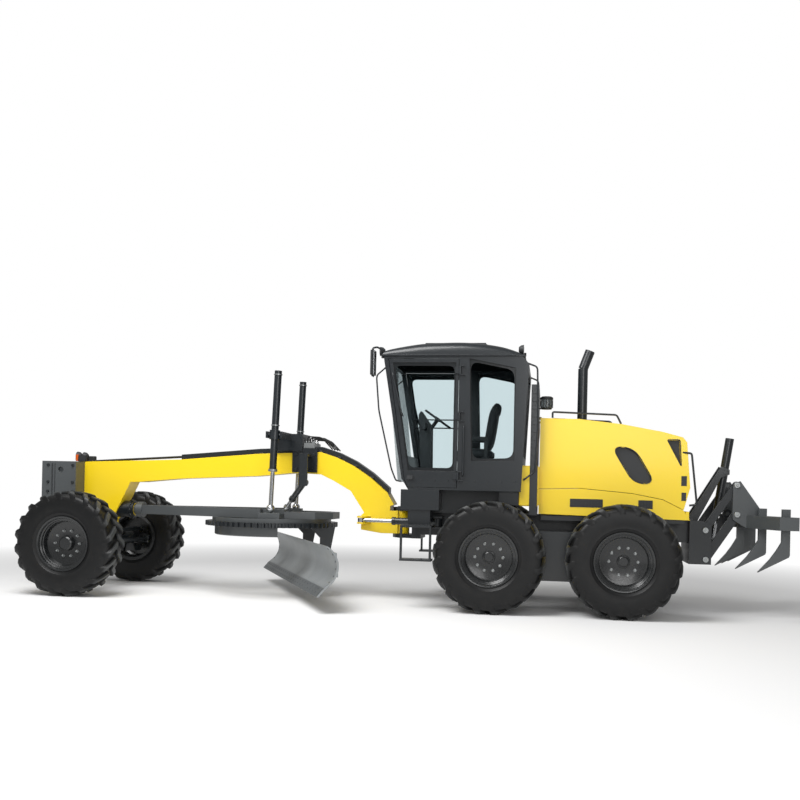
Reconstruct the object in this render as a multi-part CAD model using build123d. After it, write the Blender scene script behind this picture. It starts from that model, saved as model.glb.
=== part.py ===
from build123d import *
from math import cos, hypot, pi, sin
import os

os.makedirs("parts", exist_ok=True)

# Motor grader, millimetres. X points forward, Y to the machine's left, Z up.
# The origin is on the ground, under the middle of the whole machine.

# Wheels and where they stand
tyre_radius = 674
tyre_width = 445
wheel_sides = 32
bead_y = 193
bead_radius = 330
rim_radius = 318
rim_flange_radius = 352
rim_wall = 14
wheelbase = 6190
track = 2040
tandem_spacing = 1572
tandem_x = -2105
front_x = tandem_x + wheelbase
wheel_y = track / 2
hub_z = tyre_radius
run_gap = 0.5

# Front axle: leaning carriers, kingpins and the tie rod
kingpin_y = 840
lean_z = 520
lean_bar_z = 800
lean_bar_x = -125
lean_bar_thick = 30
lean_bar_half = 25
carrier_half = 60
ear_in = 76
kingpin_r = 30
ear_thick = 30
tie_arm = 230
tie_z = 650
ball_small_r = 30
beam_half_x = 80
beam_end_y = 640
beam_low = 590
beam_high = 720
leg_front = 115
leg_rear = -100

# Front frame
boom_half = 150
ball_x = 3645
ball_z = 1104
ball_r = 70
articulation_x = -85
hinge_boss_r = 110
hinge_pin_r = 50
hinge_low = 880
hinge_high = 1180

# Push block on the nose
push_half = 400
push_front = 4850
push_rear = 4356
push_low = 1150
push_high = 1745
push_bore_r = 38

# Drawbar, circle and blade
circle_x = 1692
circle_r = 890
circle_inner_r = 740
circle_low = 935
circle_high = 993
circle_teeth = 64
drawbar_low = 1045
drawbar_high = 1165
drawbar_rear_high = 1135
drawbar_rear_half = 690
eye_pad_high = 1117
blade_angle = 26
blade_length = 3960
blade_offset = 150.5
rail_end = 295
blade_thick = 22
edge_x = -180
edge_z = 200
tilt_x = -600
tilt_z = 560
arm_y = 580
arm_thick = 40
rail_low = (-500, -440, 400, 450)
rail_high = (-480, -420, 640, 690)

# Lift cylinders
eye_x = 1532
eye_y = 620
eye_z = 1177
eye_r = 55
gimbal_x = 1498
gimbal_z = 2130
lift_top = 2957
lift_low = 1654
lift_barrel_r = 47
lift_rod_r = 28

# Centre-shift cylinder, from the saddle down to the drawbar
shift_top = (1164, 350, 1525)
shift_end = (1595, -350, 1179)
shift_barrel_r = 40
shift_rod_r = 24
shift_barrel_len = 600

# Articulation cylinders
art_lug = (411, 255, 1050)
art_base = (-620, 400, 1050)
art_barrel_r = 45
art_rod_r = 26
art_barrel_len = 610

# Rear frame and tandems
rail_in = 150
rail_out = 230
rail_z0 = 880
rail_z1 = 1180
frame_front = -260
frame_rear = -3745
case_in = 570
case_out = 780
case_high = 990
case_low = 388
axle_r = 170
spindle_r = 90

# Cab
cab_half = 750
cab_wall = 60
cab_floor_z = 1465
b_pillar_x = -906
door_thick = 40
door_gap = 6
hinge_x = -896
hinge_y = 772
hinge_heights = (1640, 2380, 2950)

# Hood
hood_half = 600
hood_wall = 40
hood_front = -1890
hood_rear_top = -3601
hood_rear_low = -3697
exhaust_x = -2416
exhaust_r = 62
hood_pin = (-1890, 2400)

# Ripper
hitch_half = 350
plate_thick = 40
link_low_pin = (-3932, 683)
link_high_pin = (-3924, 1044)
link_run = (-363, 562)
link_wide = 110
beam_half = 1020
shank_thick = 60


def box(x0, x1, y0, y1, z0, z1):
    """A block given by its lowest and highest corners."""
    return Pos((x0 + x1) / 2, (y0 + y1) / 2, (z0 + z1) / 2) * Box(x1 - x0, y1 - y0, z1 - z0)


def bar(p, q, r):
    """A round bar from p to q."""
    way = Vector(*q) - Vector(*p)
    place = Plane(origin=p, z_dir=way)
    return place * Cylinder(r, way.length, align=(Align.CENTER, Align.CENTER, Align.MIN))


def ball(centre, r):
    """A ball with its poles along X."""
    return Pos(*centre) * Rot(0, 90, 0) * Sphere(r)


def slab(points, y0, y1):
    """An outline in X and Z, as a plate from y0 to y1."""
    face = make_face(Plane.XZ * Polyline(*points, close=True))
    return Pos(0, y1, 0) * extrude(face, amount=y1 - y0, dir=(0, -1, 0))


def plan(points, z0, z1):
    """An outline in X and Y, as a plate from z0 to z1."""
    face = make_face(Polyline(*points, close=True))
    return Pos(0, 0, z0) * extrude(face, amount=z1 - z0, dir=(0, 0, 1))


def both(part):
    """The piece and its mirror image on the other side of the machine."""
    return part + mirror(part, about=Plane.XZ)


def turned(profile, sides):
    """A ring about Y with flat sides, from its closed profile of (y, radius to the flats)."""
    corner = 1 / cos(pi / sides)
    rings = []
    for y, r in profile:
        ring = []
        for k in range(sides):
            a = 2 * pi * (k + 0.5) / sides
            ring.append((r * corner * cos(a), y, r * corner * sin(a)))
        rings.append(ring)
    faces = []
    for ring, after in zip(rings, rings[1:] + rings[:1]):
        for k in range(sides):
            n = (k + 1) % sides
            corners = []
            for point in (ring[k], ring[n], after[n], after[k]):
                if point not in corners:
                    corners.append(point)
            if len(corners) > 2:
                faces.append(Face(Wire.make_polygon(corners, close=True)))
    solid = Solid(Shell(faces))
    return Part() + (solid if solid.volume > 0 else solid.fix())


nodes = {}


def tyre():
    """Tyre about its own centre, out to the tips of its lugs."""
    half = tyre_width / 2
    side = [(bead_y - 1, rim_radius), (bead_y - 1, bead_radius + 25), (half, 500), (half - 18, 635),
            (half - 56, tyre_radius)]
    return turned(side + [(-y, r) for y, r in reversed(side)], wheel_sides)


def rim(disc_y, hub_r, hub_reach, bore_r, cap_r, cap_out):
    """Rim, disc, cap and hub of one wheel, with its outer face towards +Y."""
    well = rim_radius - rim_wall
    profile = [
        (bead_y + 14, rim_flange_radius), (bead_y - 1, rim_radius), (1 - bead_y, rim_radius),
        (-bead_y - 14, rim_flange_radius), (-bead_y - 14, well), (disc_y - 15, well), (disc_y - 15, hub_r),
        (hub_reach, hub_r), (hub_reach, bore_r + run_gap), (disc_y - 5, bore_r + run_gap), (disc_y - 5, 0),
        (disc_y + cap_out, 0), (disc_y + cap_out, cap_r), (disc_y + 15, cap_r), (disc_y + 15, well),
        (bead_y + 14, well),
    ]
    return turned(profile, wheel_sides)


def place_wheel(piece, x, side):
    """Puts a left-hand wheel piece at x on the given side."""
    set_out = Pos(x, wheel_y, hub_z) * piece
    return set_out if side > 0 else mirror(set_out, about=Plane.XZ)


the_tyre = tyre()
front_rim = rim(disc_y=40, hub_r=88, hub_reach=-60, bore_r=50, cap_r=95, cap_out=85)
rear_rim = rim(disc_y=30, hub_r=140, hub_reach=-150, bore_r=spindle_r, cap_r=130, cap_out=40)
wheel_rows = (("front", front_x, front_rim), ("middle", tandem_x + tandem_spacing / 2, rear_rim),
              ("rear", tandem_x - tandem_spacing / 2, rear_rim))
for row, x, rim_piece in wheel_rows:
    for side_name, side in (("left", 1), ("right", -1)):
        nodes[f"tyre_{row}_{side_name}"] = place_wheel(the_tyre, x, side)
        nodes[f"rim_{row}_{side_name}"] = place_wheel(rim_piece, x, side)


def front_axle():
    """Axle beam with a forked end on each side for the leaning carriers."""
    part = box(front_x - beam_half_x, front_x + beam_half_x, 0, beam_end_y, beam_low, beam_high)
    part += box(front_x - ear_in - ear_thick, front_x + ear_in + ear_thick, beam_end_y - 100, beam_end_y,
                beam_low, beam_high)
    fork = [(beam_end_y - 1, beam_high), (beam_end_y + 15, beam_low + 20), (kingpin_y - 140, lean_z + 25),
            (kingpin_y - 80, lean_z + 42), (kingpin_y + 48, lean_z + 42), (kingpin_y + 48, lean_z - 45),
            (kingpin_y - 140, lean_z - 52), (beam_end_y - 1, beam_low - 30)]
    for x0 in (ear_in, -ear_in - ear_thick):
        face = make_face(Plane.YZ * Polyline(*fork, close=True))
        part += Pos(front_x + x0, 0, 0) * extrude(face, amount=ear_thick, dir=(1, 0, 0))
    part += bar((front_x - ear_in - ear_thick, kingpin_y, lean_z),
                (front_x + ear_in + ear_thick, kingpin_y, lean_z), kingpin_r)
    return both(part)


nodes["front_axle"] = front_axle()


def carrier():
    """Left carrier: leans on the axle's pin and holds the kingpin."""
    h = carrier_half
    spine = box(-h, h, kingpin_y - 115, kingpin_y - 78, lean_z - 50, lean_bar_z + 25)
    boss = bar((-h - 12, kingpin_y, lean_z), (h + 12, kingpin_y, lean_z), 55)
    foot = box(-h, h, kingpin_y - 90, kingpin_y - 20, lean_z - 40, lean_z + 40)
    block = box(-h, h, kingpin_y - 80, kingpin_y, hub_z - 52, hub_z + 52)
    block += bar((0, kingpin_y, hub_z - 52), (0, kingpin_y, hub_z + 52), 41)
    top = box(-h, h, kingpin_y - 80, kingpin_y + 25, lean_bar_z - 25, lean_bar_z + 25)
    pin = bar((lean_bar_x - lean_bar_thick / 2 - 8, kingpin_y, lean_bar_z), (0, kingpin_y, lean_bar_z), 20)
    part = spine + boss + foot + block + top + pin
    part -= bar((-h - 20, kingpin_y, lean_z), (h + 20, kingpin_y, lean_z), kingpin_r + run_gap)
    part -= bar((0, kingpin_y, hub_z - 60), (0, kingpin_y, hub_z + 60), kingpin_r + run_gap)
    return Pos(front_x, 0, 0) * part


nodes["carrier_left"] = carrier()
nodes["carrier_right"] = mirror(nodes["carrier_left"], about=Plane.XZ)


def knuckle():
    """Left knuckle: kingpin, two ears, spindle and the steering arm."""
    low = hub_z - 52 - 2
    high = hub_z + 52 + 2
    pin = bar((0, kingpin_y, low - 25), (0, kingpin_y, high + 25), kingpin_r)
    web = box(-58, 58, kingpin_y + 46, kingpin_y + 80, low - 25, high + 25)
    ears = box(-50, 50, kingpin_y - 42, kingpin_y + 60, high, high + 25)
    ears += box(-50, 50, kingpin_y - 42, kingpin_y + 60, low - 25, low)
    spindle = bar((0, kingpin_y + 78, hub_z), (0, wheel_y + 28, hub_z), 50)
    arm = box(-tie_arm, -40, kingpin_y - 16, kingpin_y + 28, low - 25, low - 3)
    arm += bar((-tie_arm, kingpin_y, low - 25), (-tie_arm, kingpin_y, low - 3), 30)
    return pin + web + ears + spindle + arm


def tie_stud():
    """Ball and stud that stand on a steering arm."""
    stud = bar((-tie_arm, kingpin_y, hub_z - 57), (-tie_arm, kingpin_y, tie_z + 10), 13)
    return stud + Pos(-tie_arm, kingpin_y, tie_z + 10) * Sphere(ball_small_r)


half_knuckle = knuckle()
stud_hole = bar((-tie_arm, kingpin_y, 500), (-tie_arm, kingpin_y, 700), 13 + run_gap)
nodes["knuckle_left"] = Pos(front_x, 0, 0) * (half_knuckle - stud_hole)
stud_foot = bar((-tie_arm, kingpin_y, hub_z - 79), (-tie_arm, kingpin_y, hub_z - 56), 13)
nodes["tie_rod_ball"] = Pos(front_x, 0, 0) * (tie_stud() + stud_foot)
nodes["knuckle_right"] = Pos(front_x, 0, 0) * mirror(half_knuckle + tie_stud(), about=Plane.XZ)


def tie_rod():
    """Tie rod with a socket over each ball."""
    z = tie_z + 10
    tube = bar((-tie_arm, -kingpin_y + 40, z), (-tie_arm, kingpin_y - 40, z), 24)
    part = tube
    for s in (-1, 1):
        socket = box(-tie_arm - 38, -tie_arm + 38, s * kingpin_y - 40, s * kingpin_y + 40, z - 18, z + 42)
        socket -= Pos(-tie_arm, s * kingpin_y, z) * Sphere(ball_small_r + run_gap)
        part += socket
    for s in (-1, 1):
        part -= Pos(-tie_arm, s * kingpin_y, z) * Sphere(ball_small_r + run_gap)
        part -= bar((-tie_arm, s * kingpin_y, z - 60), (-tie_arm, s * kingpin_y, z - 10), 28)
    return Pos(front_x, 0, 0) * part


nodes["tie_rod"] = tie_rod()


def lean_bar():
    """Flat bar that makes both front wheels lean together."""
    half = lean_bar_thick / 2
    x0 = lean_bar_x - half
    x1 = lean_bar_x + half
    part = box(x0, x1, -kingpin_y, kingpin_y, lean_bar_z - lean_bar_half, lean_bar_z + lean_bar_half)
    for s in (-1, 1):
        part += bar((x0, s * kingpin_y, lean_bar_z), (x1, s * kingpin_y, lean_bar_z), 38)
    for s in (-1, 1):
        part -= bar((x0 - 5, s * kingpin_y, lean_bar_z), (x1 + 5, s * kingpin_y, lean_bar_z), 20 + run_gap)
    return Pos(front_x, 0, 0) * part


nodes["lean_bar"] = lean_bar()


def front_frame():
    """Arched boom, front leg over the axle and the rear hinge boss."""
    boom = [
        (4499, 1744), (4506, 1360), (4290, 1000), (front_x + leg_front, 905), (front_x + leg_front, beam_high),
        (front_x + leg_rear, beam_high), (front_x + leg_rear, 950), (3888, 1065), (3679, 1481), (3553, 1484),
        (2964, 1542), (1884, 1598), (1332, 1653), (990, 1638), (807, 1553), (579, 1426), (393, 1145),
        (430, 1110), (430, 920), (160, hinge_low), (-60, hinge_low), (-60, hinge_high), (45, hinge_high),
        (45, hinge_high + 60), (-4, hinge_high + 80), (88, 1415),
        (315, 1607), (542, 1756), (769, 1863), (997, 1936), (1845, 1900), (2970, 1802),
    ]
    part = slab(boom, -boom_half, boom_half)
    part += bar((articulation_x, 0, hinge_low), (articulation_x, 0, hinge_high), hinge_boss_r)
    part -= bar((articulation_x, 0, hinge_low - 5), (articulation_x, 0, hinge_high + 5), hinge_pin_r + run_gap)
    part += bar((front_x + leg_rear - 4, 0, 800), (front_x + leg_front + 20, 0, 800), 62)
    lx, ly, lz = art_lug
    for z0 in (lz + 30, lz - 50):
        lug = plan([(lx - 130, 100), (lx + 60, 100), (lx + 50, ly + 20), (lx + 20, ly + 50),
                    (lx - 30, ly + 50), (lx - 70, ly + 10)], z0, z0 + 20)
        part += both(lug)
    part += bar((ball_x + 20, 0, ball_z), (3930, 0, ball_z), 110)
    return part - ball((ball_x, 0, ball_z), ball_r + run_gap)


nodes["front_frame"] = front_frame()


def push_block():
    """Push block: a plate with two cheeks bolted to the nose."""
    front = box(push_front - 60, push_front, -push_half, push_half, push_low, push_high)
    cheek = box(push_rear, push_front - 30, boom_half, push_half, push_low, push_high)
    inner = box(push_rear + 60, push_front - 60, boom_half + 40, push_half - 40, push_low - 10, push_high + 10)
    cheek -= inner
    part = front + both(cheek)
    part += box(4506, push_front - 30, -boom_half, boom_half, 1400, 1700)
    hole_x = 4576
    part -= bar((hole_x, -push_half - 10, 1632), (hole_x, push_half + 10, 1632), push_bore_r)
    return part


nodes["push_block"] = push_block()


def saddle():
    """Saddle over the boom with the arms that hold the lift cylinders."""
    top = box(1240, 1600, -210, 210, 1940, 2170)
    cheeks = both(box(1040, 1380, boom_half, boom_half + 32, 1660, 1940))
    cap = box(1040, 1380, -boom_half - 32, boom_half + 32, 1940, 1985)
    part = cheeks + cap + top
    for s in (-1, 1):
        for x0 in (gimbal_x - 108, gimbal_x + 82):
            arm = box(x0, x0 + 26, 180, eye_y + 45, gimbal_z - 42, gimbal_z + 42)
            arm -= bar((x0 - 5, eye_y, gimbal_z), (x0 + 35, eye_y, gimbal_z), 22 + run_gap)
            part += arm if s > 0 else mirror(arm, about=Plane.XZ)
    sx, sy, sz = shift_top
    ear = box(sx - 55, sx + 55, sy + 45, sy + 70, sz - 45, 1900)
    bridge = box(sx - 55, sx + 55, boom_half, sy + 70, 1870, 1900)
    pin = bar((sx, sy - 45, sz), (sx, sy + 50, sz), 22)
    return part + ear + bridge + pin


nodes["saddle"] = saddle()


def lift_cylinder():
    """Left lift cylinder: barrel in its trunnion, rod and ball end."""
    axis_x = lambda z: gimbal_x + (eye_x - gimbal_x) * (gimbal_z - z) / (gimbal_z - eye_z)
    top = (axis_x(lift_top), eye_y, lift_top)
    low = (axis_x(lift_low), eye_y, lift_low)
    barrel = bar(low, top, lift_barrel_r)
    barrel += bar((axis_x(gimbal_z - 60), eye_y, gimbal_z - 60), (axis_x(gimbal_z + 60), eye_y, gimbal_z + 60), 68)
    barrel += bar((gimbal_x - 106, eye_y, gimbal_z), (gimbal_x + 106, eye_y, gimbal_z), 22)
    inner_top = (axis_x(lift_top - 20), eye_y, lift_top - 20)
    under = (axis_x(lift_low - 30), eye_y, lift_low - 30)
    barrel -= bar(under, inner_top, lift_rod_r + 8)
    barrel += bar(low, (axis_x(lift_low + 40), eye_y, lift_low + 40), lift_barrel_r + 6)
    barrel -= bar(under, (axis_x(lift_low + 60), eye_y, lift_low + 60), lift_rod_r + run_gap)
    rod_top = lift_low + 480
    rod = bar((eye_x, eye_y, eye_z), (axis_x(rod_top), eye_y, rod_top), lift_rod_r)
    rod += Pos(eye_x, eye_y, eye_z) * Sphere(eye_r)
    return barrel, rod


left_barrel, left_rod = lift_cylinder()
nodes["lift_barrel_left"] = left_barrel
nodes["lift_barrel_right"] = mirror(left_barrel, about=Plane.XZ)
nodes["lift_rod_left"] = left_rod
nodes["lift_rod_right"] = mirror(left_rod, about=Plane.XZ)


def along(p, q, length):
    """The point at a distance from p towards q."""
    way = Vector(*q) - Vector(*p)
    spot = Vector(*p) + way * (length / way.length)
    return (spot.X, spot.Y, spot.Z)


def plain_cylinder(base, end, barrel_len, barrel_r, rod_r, rod_in):
    """Barrel from its base pin and a rod out to its end, both hollow as needed."""
    total = (Vector(*end) - Vector(*base)).length
    mouth = along(base, end, barrel_len)
    barrel = bar(base, mouth, barrel_r)
    barrel += bar(along(base, end, barrel_len - 40), mouth, barrel_r + 7)
    barrel -= bar(along(base, end, barrel_r + 25), along(base, end, barrel_len + 10), rod_r + run_gap)
    rod = bar(along(base, end, rod_in), end, rod_r)
    return barrel, rod, total


shift_barrel, shift_rod, shift_total = plain_cylinder(
    shift_top, shift_end, shift_barrel_len, shift_barrel_r, shift_rod_r, 325)
shift_barrel += bar((shift_top[0], shift_top[1] - 38, shift_top[2]),
                    (shift_top[0], shift_top[1] + 38, shift_top[2]), 50)
shift_barrel -= bar((shift_top[0], shift_top[1] - 60, shift_top[2]),
                    (shift_top[0], shift_top[1] + 60, shift_top[2]), 22 + run_gap)
shift_rod += Pos(*shift_end) * Sphere(42)
nodes["shift_barrel"] = shift_barrel
nodes["shift_rod"] = shift_rod

art_barrel, art_rod, art_total = plain_cylinder(art_base, art_lug, art_barrel_len, art_barrel_r, art_rod_r, 380)
bx, by, bz = art_base
art_barrel += bar((bx, by, bz - 50), (bx, by, bz + 50), 50)
art_barrel -= bar((bx, by, bz - 60), (bx, by, bz + 60), 25)
lx, ly, lz = art_lug
art_rod += bar((lx, ly, lz - 25), (lx, ly, lz + 25), 42)
nodes["articulation_barrel_left"] = art_barrel
nodes["articulation_barrel_right"] = mirror(art_barrel, about=Plane.XZ)
nodes["articulation_rod_left"] = art_rod
nodes["articulation_rod_right"] = mirror(art_rod, about=Plane.XZ)


def drawbar():
    """A-frame drawbar with the rear half of its ball socket."""
    outer = [(3560, 80), (eye_x + 150, 560), (eye_x + 150, drawbar_rear_half), (eye_x - 140, drawbar_rear_half),
             (eye_x - 140, 480), (1000, 380), (800, 200)]
    outer += [(x, -y) for x, y in reversed(outer)]
    inner = [(3250, 55), (eye_x + 190, 445), (1000, 260), (900, 150)]
    inner += [(x, -y) for x, y in reversed(inner)]
    part = plan(outer, drawbar_low, drawbar_high) - plan(inner, drawbar_low - 5, drawbar_high + 5)
    for s in (-1, 1):
        y0, y1 = (470, drawbar_rear_half + 5)
        part -= box(eye_x - 145, eye_x + 155, min(s * y0, s * y1), max(s * y0, s * y1), eye_pad_high, 1300)
    part -= box(700, eye_x - 140, -600, 600, drawbar_rear_high, 1300)
    cup = bar((ball_x - 110, 0, ball_z), (ball_x - 20, 0, ball_z), 105)
    ring = Pos(circle_x, 0, (circle_high + drawbar_low) / 2)
    ring = ring * (Cylinder(800, drawbar_low - circle_high - run_gap) - Cylinder(circle_inner_r, 200))
    ring = Pos(0, 0, run_gap / 2) * ring
    part = part + cup + ring
    ex, ey, ez = shift_end
    part += box(ex - 40, ex + 40, ey - 90, ey - 48, drawbar_low, ez + 40)
    return part - ball((ball_x, 0, ball_z), ball_r + run_gap)


nodes["drawbar_ball"] = ball((ball_x, 0, ball_z), ball_r)
nodes["drawbar"] = drawbar()

blade_place = Pos(circle_x, 0, 0) * Rot(0, 0, blade_angle)


def circle():
    """Toothed circle with the two arms that carry the blade."""
    ring = Pos(0, 0, (circle_low + circle_high) / 2) * (
        Cylinder(circle_r - 28, circle_high - circle_low) - Cylinder(circle_inner_r, 200))
    arm_outline = [(-740, circle_low + 10), (-400, circle_low + 10), (tilt_x + 55, 800), (tilt_x + 55, tilt_z + 30),
                   (tilt_x, tilt_z - 70), (tilt_x - 70, tilt_z)]
    arms = ring
    for s in (-1, 1):
        y0 = s * arm_y - arm_thick / 2
        arms += slab(arm_outline, y0, y0 + arm_thick)
        inner = s * (arm_y - arm_thick / 2 - 50)
        arms += bar((tilt_x, inner, tilt_z), (tilt_x, s * arm_y, tilt_z), 30)
    step = 360 / circle_teeth
    tooth = [(circle_r - 32, -26), (circle_r, -14), (circle_r, 14), (circle_r - 32, 26)]
    tooth = plan(tooth, circle_low, circle_high)
    all_teeth = [Rot(0, 0, k * step) * tooth for k in range(circle_teeth)]
    return arms + all_teeth


nodes["circle"] = blade_place * circle()


def blade_carrier():
    """Tilting carrier whose jaws hold the moldboard's rails."""
    part = None
    inner = arm_y - arm_thick / 2 - 8
    for s in (-1, 1):
        y1 = s * inner
        y0 = s * (inner - 45)
        y0, y1 = min(y0, y1), max(y0, y1)
        x0 = rail_low[0] - 60
        plate = box(x0, rail_low[0] - 5, y0, y1, rail_low[2] - 30, rail_high[3] + 30)
        for rx0, rx1, rz0, rz1 in (rail_low, rail_high):
            plate += box(x0 + 10, rx1 - 15, y0, y1, rz0 - 30, rz0 - run_gap)
            plate += box(x0 + 10, rx1 - 15, y0, y1, rz1 + run_gap, rz1 + 30)
        plate += box(tilt_x - 20, x0 + 10, y0, y1, tilt_z - 45, tilt_z + 45)
        plate += bar((tilt_x, y0, tilt_z), (tilt_x, y1, tilt_z), 55)
        plate -= bar((tilt_x, y0 - 5, tilt_z), (tilt_x, y1 + 5, tilt_z), 30 + run_gap)
        part = plate if part is None else part + plate
    part += bar((tilt_x - 5, -inner + 45, tilt_z), (tilt_x - 5, inner - 45, tilt_z), 40)
    for rx0, rx1, rz0, rz1 in (rail_low, rail_high):
        part -= box(rx0 - run_gap, rx1 + 50, -inner - 5, inner + 5, rz0 - run_gap, rz1 + run_gap)
    return part


nodes["blade_carrier"] = blade_place * blade_carrier()


def moldboard():
    """Curved blade with its cutting edge, back ribs and slide rails."""
    half = blade_length / 2
    tip = (edge_x, edge_z)
    knee = (edge_x - 105, edge_z + 120)
    belly = (edge_x - 235, edge_z + 340)
    top = (edge_x - 95, edge_z + 585)
    front = Line(tip, knee) + ThreePointArc(knee, belly, top)
    t = blade_thick
    back_top = (top[0] - t, top[1] + 2)
    back_belly = (belly[0] - t, belly[1])
    back_knee = (knee[0] - t, knee[1] - 8)
    back_tip = (tip[0] - t, tip[1])
    wires = front + Line(top, back_top) + ThreePointArc(back_top, back_belly, back_knee)
    wires += Line(back_knee, back_tip) + Line(back_tip, tip)
    face = make_face(Plane.XZ * wires)
    shell = Pos(0, half, 0) * extrude(face, amount=blade_length, dir=(0, -1, 0))
    part = shell
    for x0, x1, z0, z1 in (rail_low, rail_high):
        part += box(x0, x1, -half + rail_end, half - rail_end, z0, z1)
    for k in range(6):
        y = -half + 300 + k * (blade_length - 600) / 5
        rib = slab([(rail_low[1], rail_low[2]), (belly[0] - 5, belly[1] - 90), (belly[0] - 5, belly[1] + 90),
                    (rail_high[1], rail_high[3]), (rail_high[1] - 20, rail_high[2]),
                    (rail_low[1] - 20, rail_low[3])], y - 12, y + 12)
        if abs(y) > arm_y + 500 or k in (0, 5):
            part += rib
    web = slab([(rail_low[1] - 1, rail_low[2] + 5), (belly[0] - 5, belly[1] - 100), (belly[0] - 5, belly[1] - 60),
                (rail_low[1] - 1, rail_low[3] - 5)], -half + rail_end, half - rail_end)
    web += slab([(rail_high[1] - 1, rail_high[2] + 5), (belly[0] - 3, belly[1] + 70), (belly[0] + 5, belly[1] + 110),
                 (rail_high[1] - 1, rail_high[3] - 5)], -half + rail_end, half - rail_end)
    part += web
    return Pos(0, blade_offset, 0) * part


nodes["moldboard"] = blade_place * moldboard()


def steps():
    """Steps below the cab doors, on both sides."""
    step = box(-610, -222, 800, 1000, 590, 615)
    hangers = None
    for x in (-610, -250):
        post = box(x, x + 28, 960, 985, 600, 1000)
        hangers = post if hangers is None else hangers + post
    upper = box(-610, -222, 700, 985, 1000, 1025)
    link = box(-560, -280, 700, 740, 1020, 1215)
    return both(step + hangers + upper + link)


def rear_frame():
    """Rear rails, hinge yoke, axle housing, belly boxes, hitch and ladders."""
    rails = both(box(frame_rear, frame_front, rail_in, rail_out, rail_z0, rail_z1))
    part = rails
    for x in (frame_front - 60, tandem_x + 500, tandem_x - 500, frame_rear + 60):
        part += box(x - 60, x + 60, -rail_in, rail_in, rail_z0, rail_z1)
    yoke = [(frame_front, 200), (articulation_x, 120), (articulation_x + 60, 100), (articulation_x + 110, 0),
            (articulation_x + 60, -100), (articulation_x, -120), (frame_front, -200)]
    for z0, z1 in ((hinge_low - 53, hinge_low - 3), (hinge_high + 3, hinge_high + 50)):
        part += plan(yoke, z0, z1)
    part += box(frame_front - 120, frame_front, -rail_out, rail_out, hinge_low - 53, hinge_high + 50)
    part += bar((articulation_x, 0, hinge_low - 60), (articulation_x, 0, hinge_high + 60), hinge_pin_r)
    bx, by, bz = art_base
    for s in (-1, 1):
        for z0 in (bz + 55, bz - 80):
            y0, y1 = sorted((s * (rail_out - 5), s * (by + 60)))
            part += box(bx - 60, bx + 60, y0, y1, z0, z0 + 25)
        part += bar((bx, s * by, bz - 60), (bx, s * by, bz + 60), 24.5)
    housing = bar((tandem_x, -case_in, hub_z + 40), (tandem_x, case_in, hub_z + 40), axle_r)
    part += housing + box(tandem_x - 150, tandem_x + 150, -rail_in, rail_in, hub_z + 40, rail_z0 + 10)
    part += box(-1500, -420, -420, 420, rail_z1 - 5, cab_floor_z)
    part += both(box(-668, -187, 419, 760, 1211, cab_floor_z))
    part += both(box(frame_rear + 100, hood_front - 30, 200, 560, rail_z1 - 60, rail_z1))
    pins = (link_low_pin, link_high_pin)
    plate = slab([(-3744, 1157), (-3900, 1157), (-3999, 1101), (-3999, 622), (-3744, 622)],
                 hitch_half - plate_thick, hitch_half)
    part += both(plate)
    part += box(-3775, -3735, -hitch_half, hitch_half, 622, 1180)
    for x, z in pins:
        part += both(bar((x, hitch_half - plate_thick - 48, z), (x, hitch_half + 12, z), 28))
    strut = slab([(-3740, 1000), (-3740, 1170), (-4140, 1840), (-4240, 1800), (-4240, 1740), (-4140, 1700),
                  (-3790, 1000)], 80, 110)
    strut -= bar((-4190, 70, 1770), (-4190, 120, 1770), 28 + run_gap)
    return part + both(strut) + steps()


nodes["rear_frame"] = rear_frame()

case_length = tandem_spacing + 560
case_outline = RectangleRounded(case_length, case_high - case_low, 240)
case = extrude(Plane.XZ * case_outline, amount=case_out - case_in, dir=(0, -1, 0))
case = Pos(tandem_x, case_out, (case_high + case_low) / 2) * case
for k in (-1, 1):
    x = tandem_x + k * tandem_spacing / 2
    case += bar((x, case_out - 10, hub_z), (x, wheel_y + 20, hub_z), spindle_r)
nodes["tandem_cases"] = both(case)

# Cab outline, seen from the side: x and z of each corner
cab_side = [
    (80, 3185), (-342, 3297), (-939, 3310), (-1411, 3243), (-1647, 3149), (-1742, 3032),
    (-1734, 2868), (-1672, cab_floor_z), (-275, cab_floor_z), (-190, 1600),
]
door_outline = [(10, 3100), (b_pillar_x + 22, 3100), (b_pillar_x + 22, 1490), (-262, 1490), (-222, 1590)]
door_window = [(-50, 3050), (b_pillar_x + 62, 3050), (b_pillar_x + 62, 1700), (-268, 1700)]
rear_window = [(-1010, 3100), (-1580, 2985), (-1583, 1846), (-1055, 1830)]


def grow(points, gap):
    """The outline moved outwards by a gap."""
    face = make_face(Polyline(*points, close=True))
    return offset(face, amount=gap, kind=Kind.INTERSECTION)


def side_plate(points, gap, y0, y1):
    """A plate of the grown outline."""
    return Pos(0, y1, 0) * extrude(Plane.XZ * grow(points, gap), amount=y1 - y0, dir=(0, -1, 0))


def cab_frame():
    """Posts, sills and panels of the cab, open at doors and windows."""
    hull = slab(cab_side, -cab_half, cab_half)
    room = side_plate(cab_side, -cab_wall, -cab_half + cab_wall, cab_half - cab_wall)
    part = hull - room
    for outline in (door_outline, rear_window):
        part -= both(side_plate(outline, 0, cab_half - cab_wall - 2, cab_half + 20))
    part -= box(-200, 300, -cab_half + 75, cab_half - 75, 1560, 3075)
    part -= box(-1900, -1500, -cab_half + 90, cab_half - 90, 1900, 2950)
    part -= box(-2000, 300, -cab_half - 10, cab_half + 10, 3126, 3400)
    for z in hinge_heights:
        part += both(bar((hinge_x, hinge_y, z - 62), (hinge_x, hinge_y, z + 62), 8))
        for z0 in (z - 62, z + 48):
            part += both(box(hinge_x - 60, hinge_x + 10, cab_half - 1, hinge_y + 12, z0, z0 + 14))
    return part


nodes["cab_frame"] = cab_frame()

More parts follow.
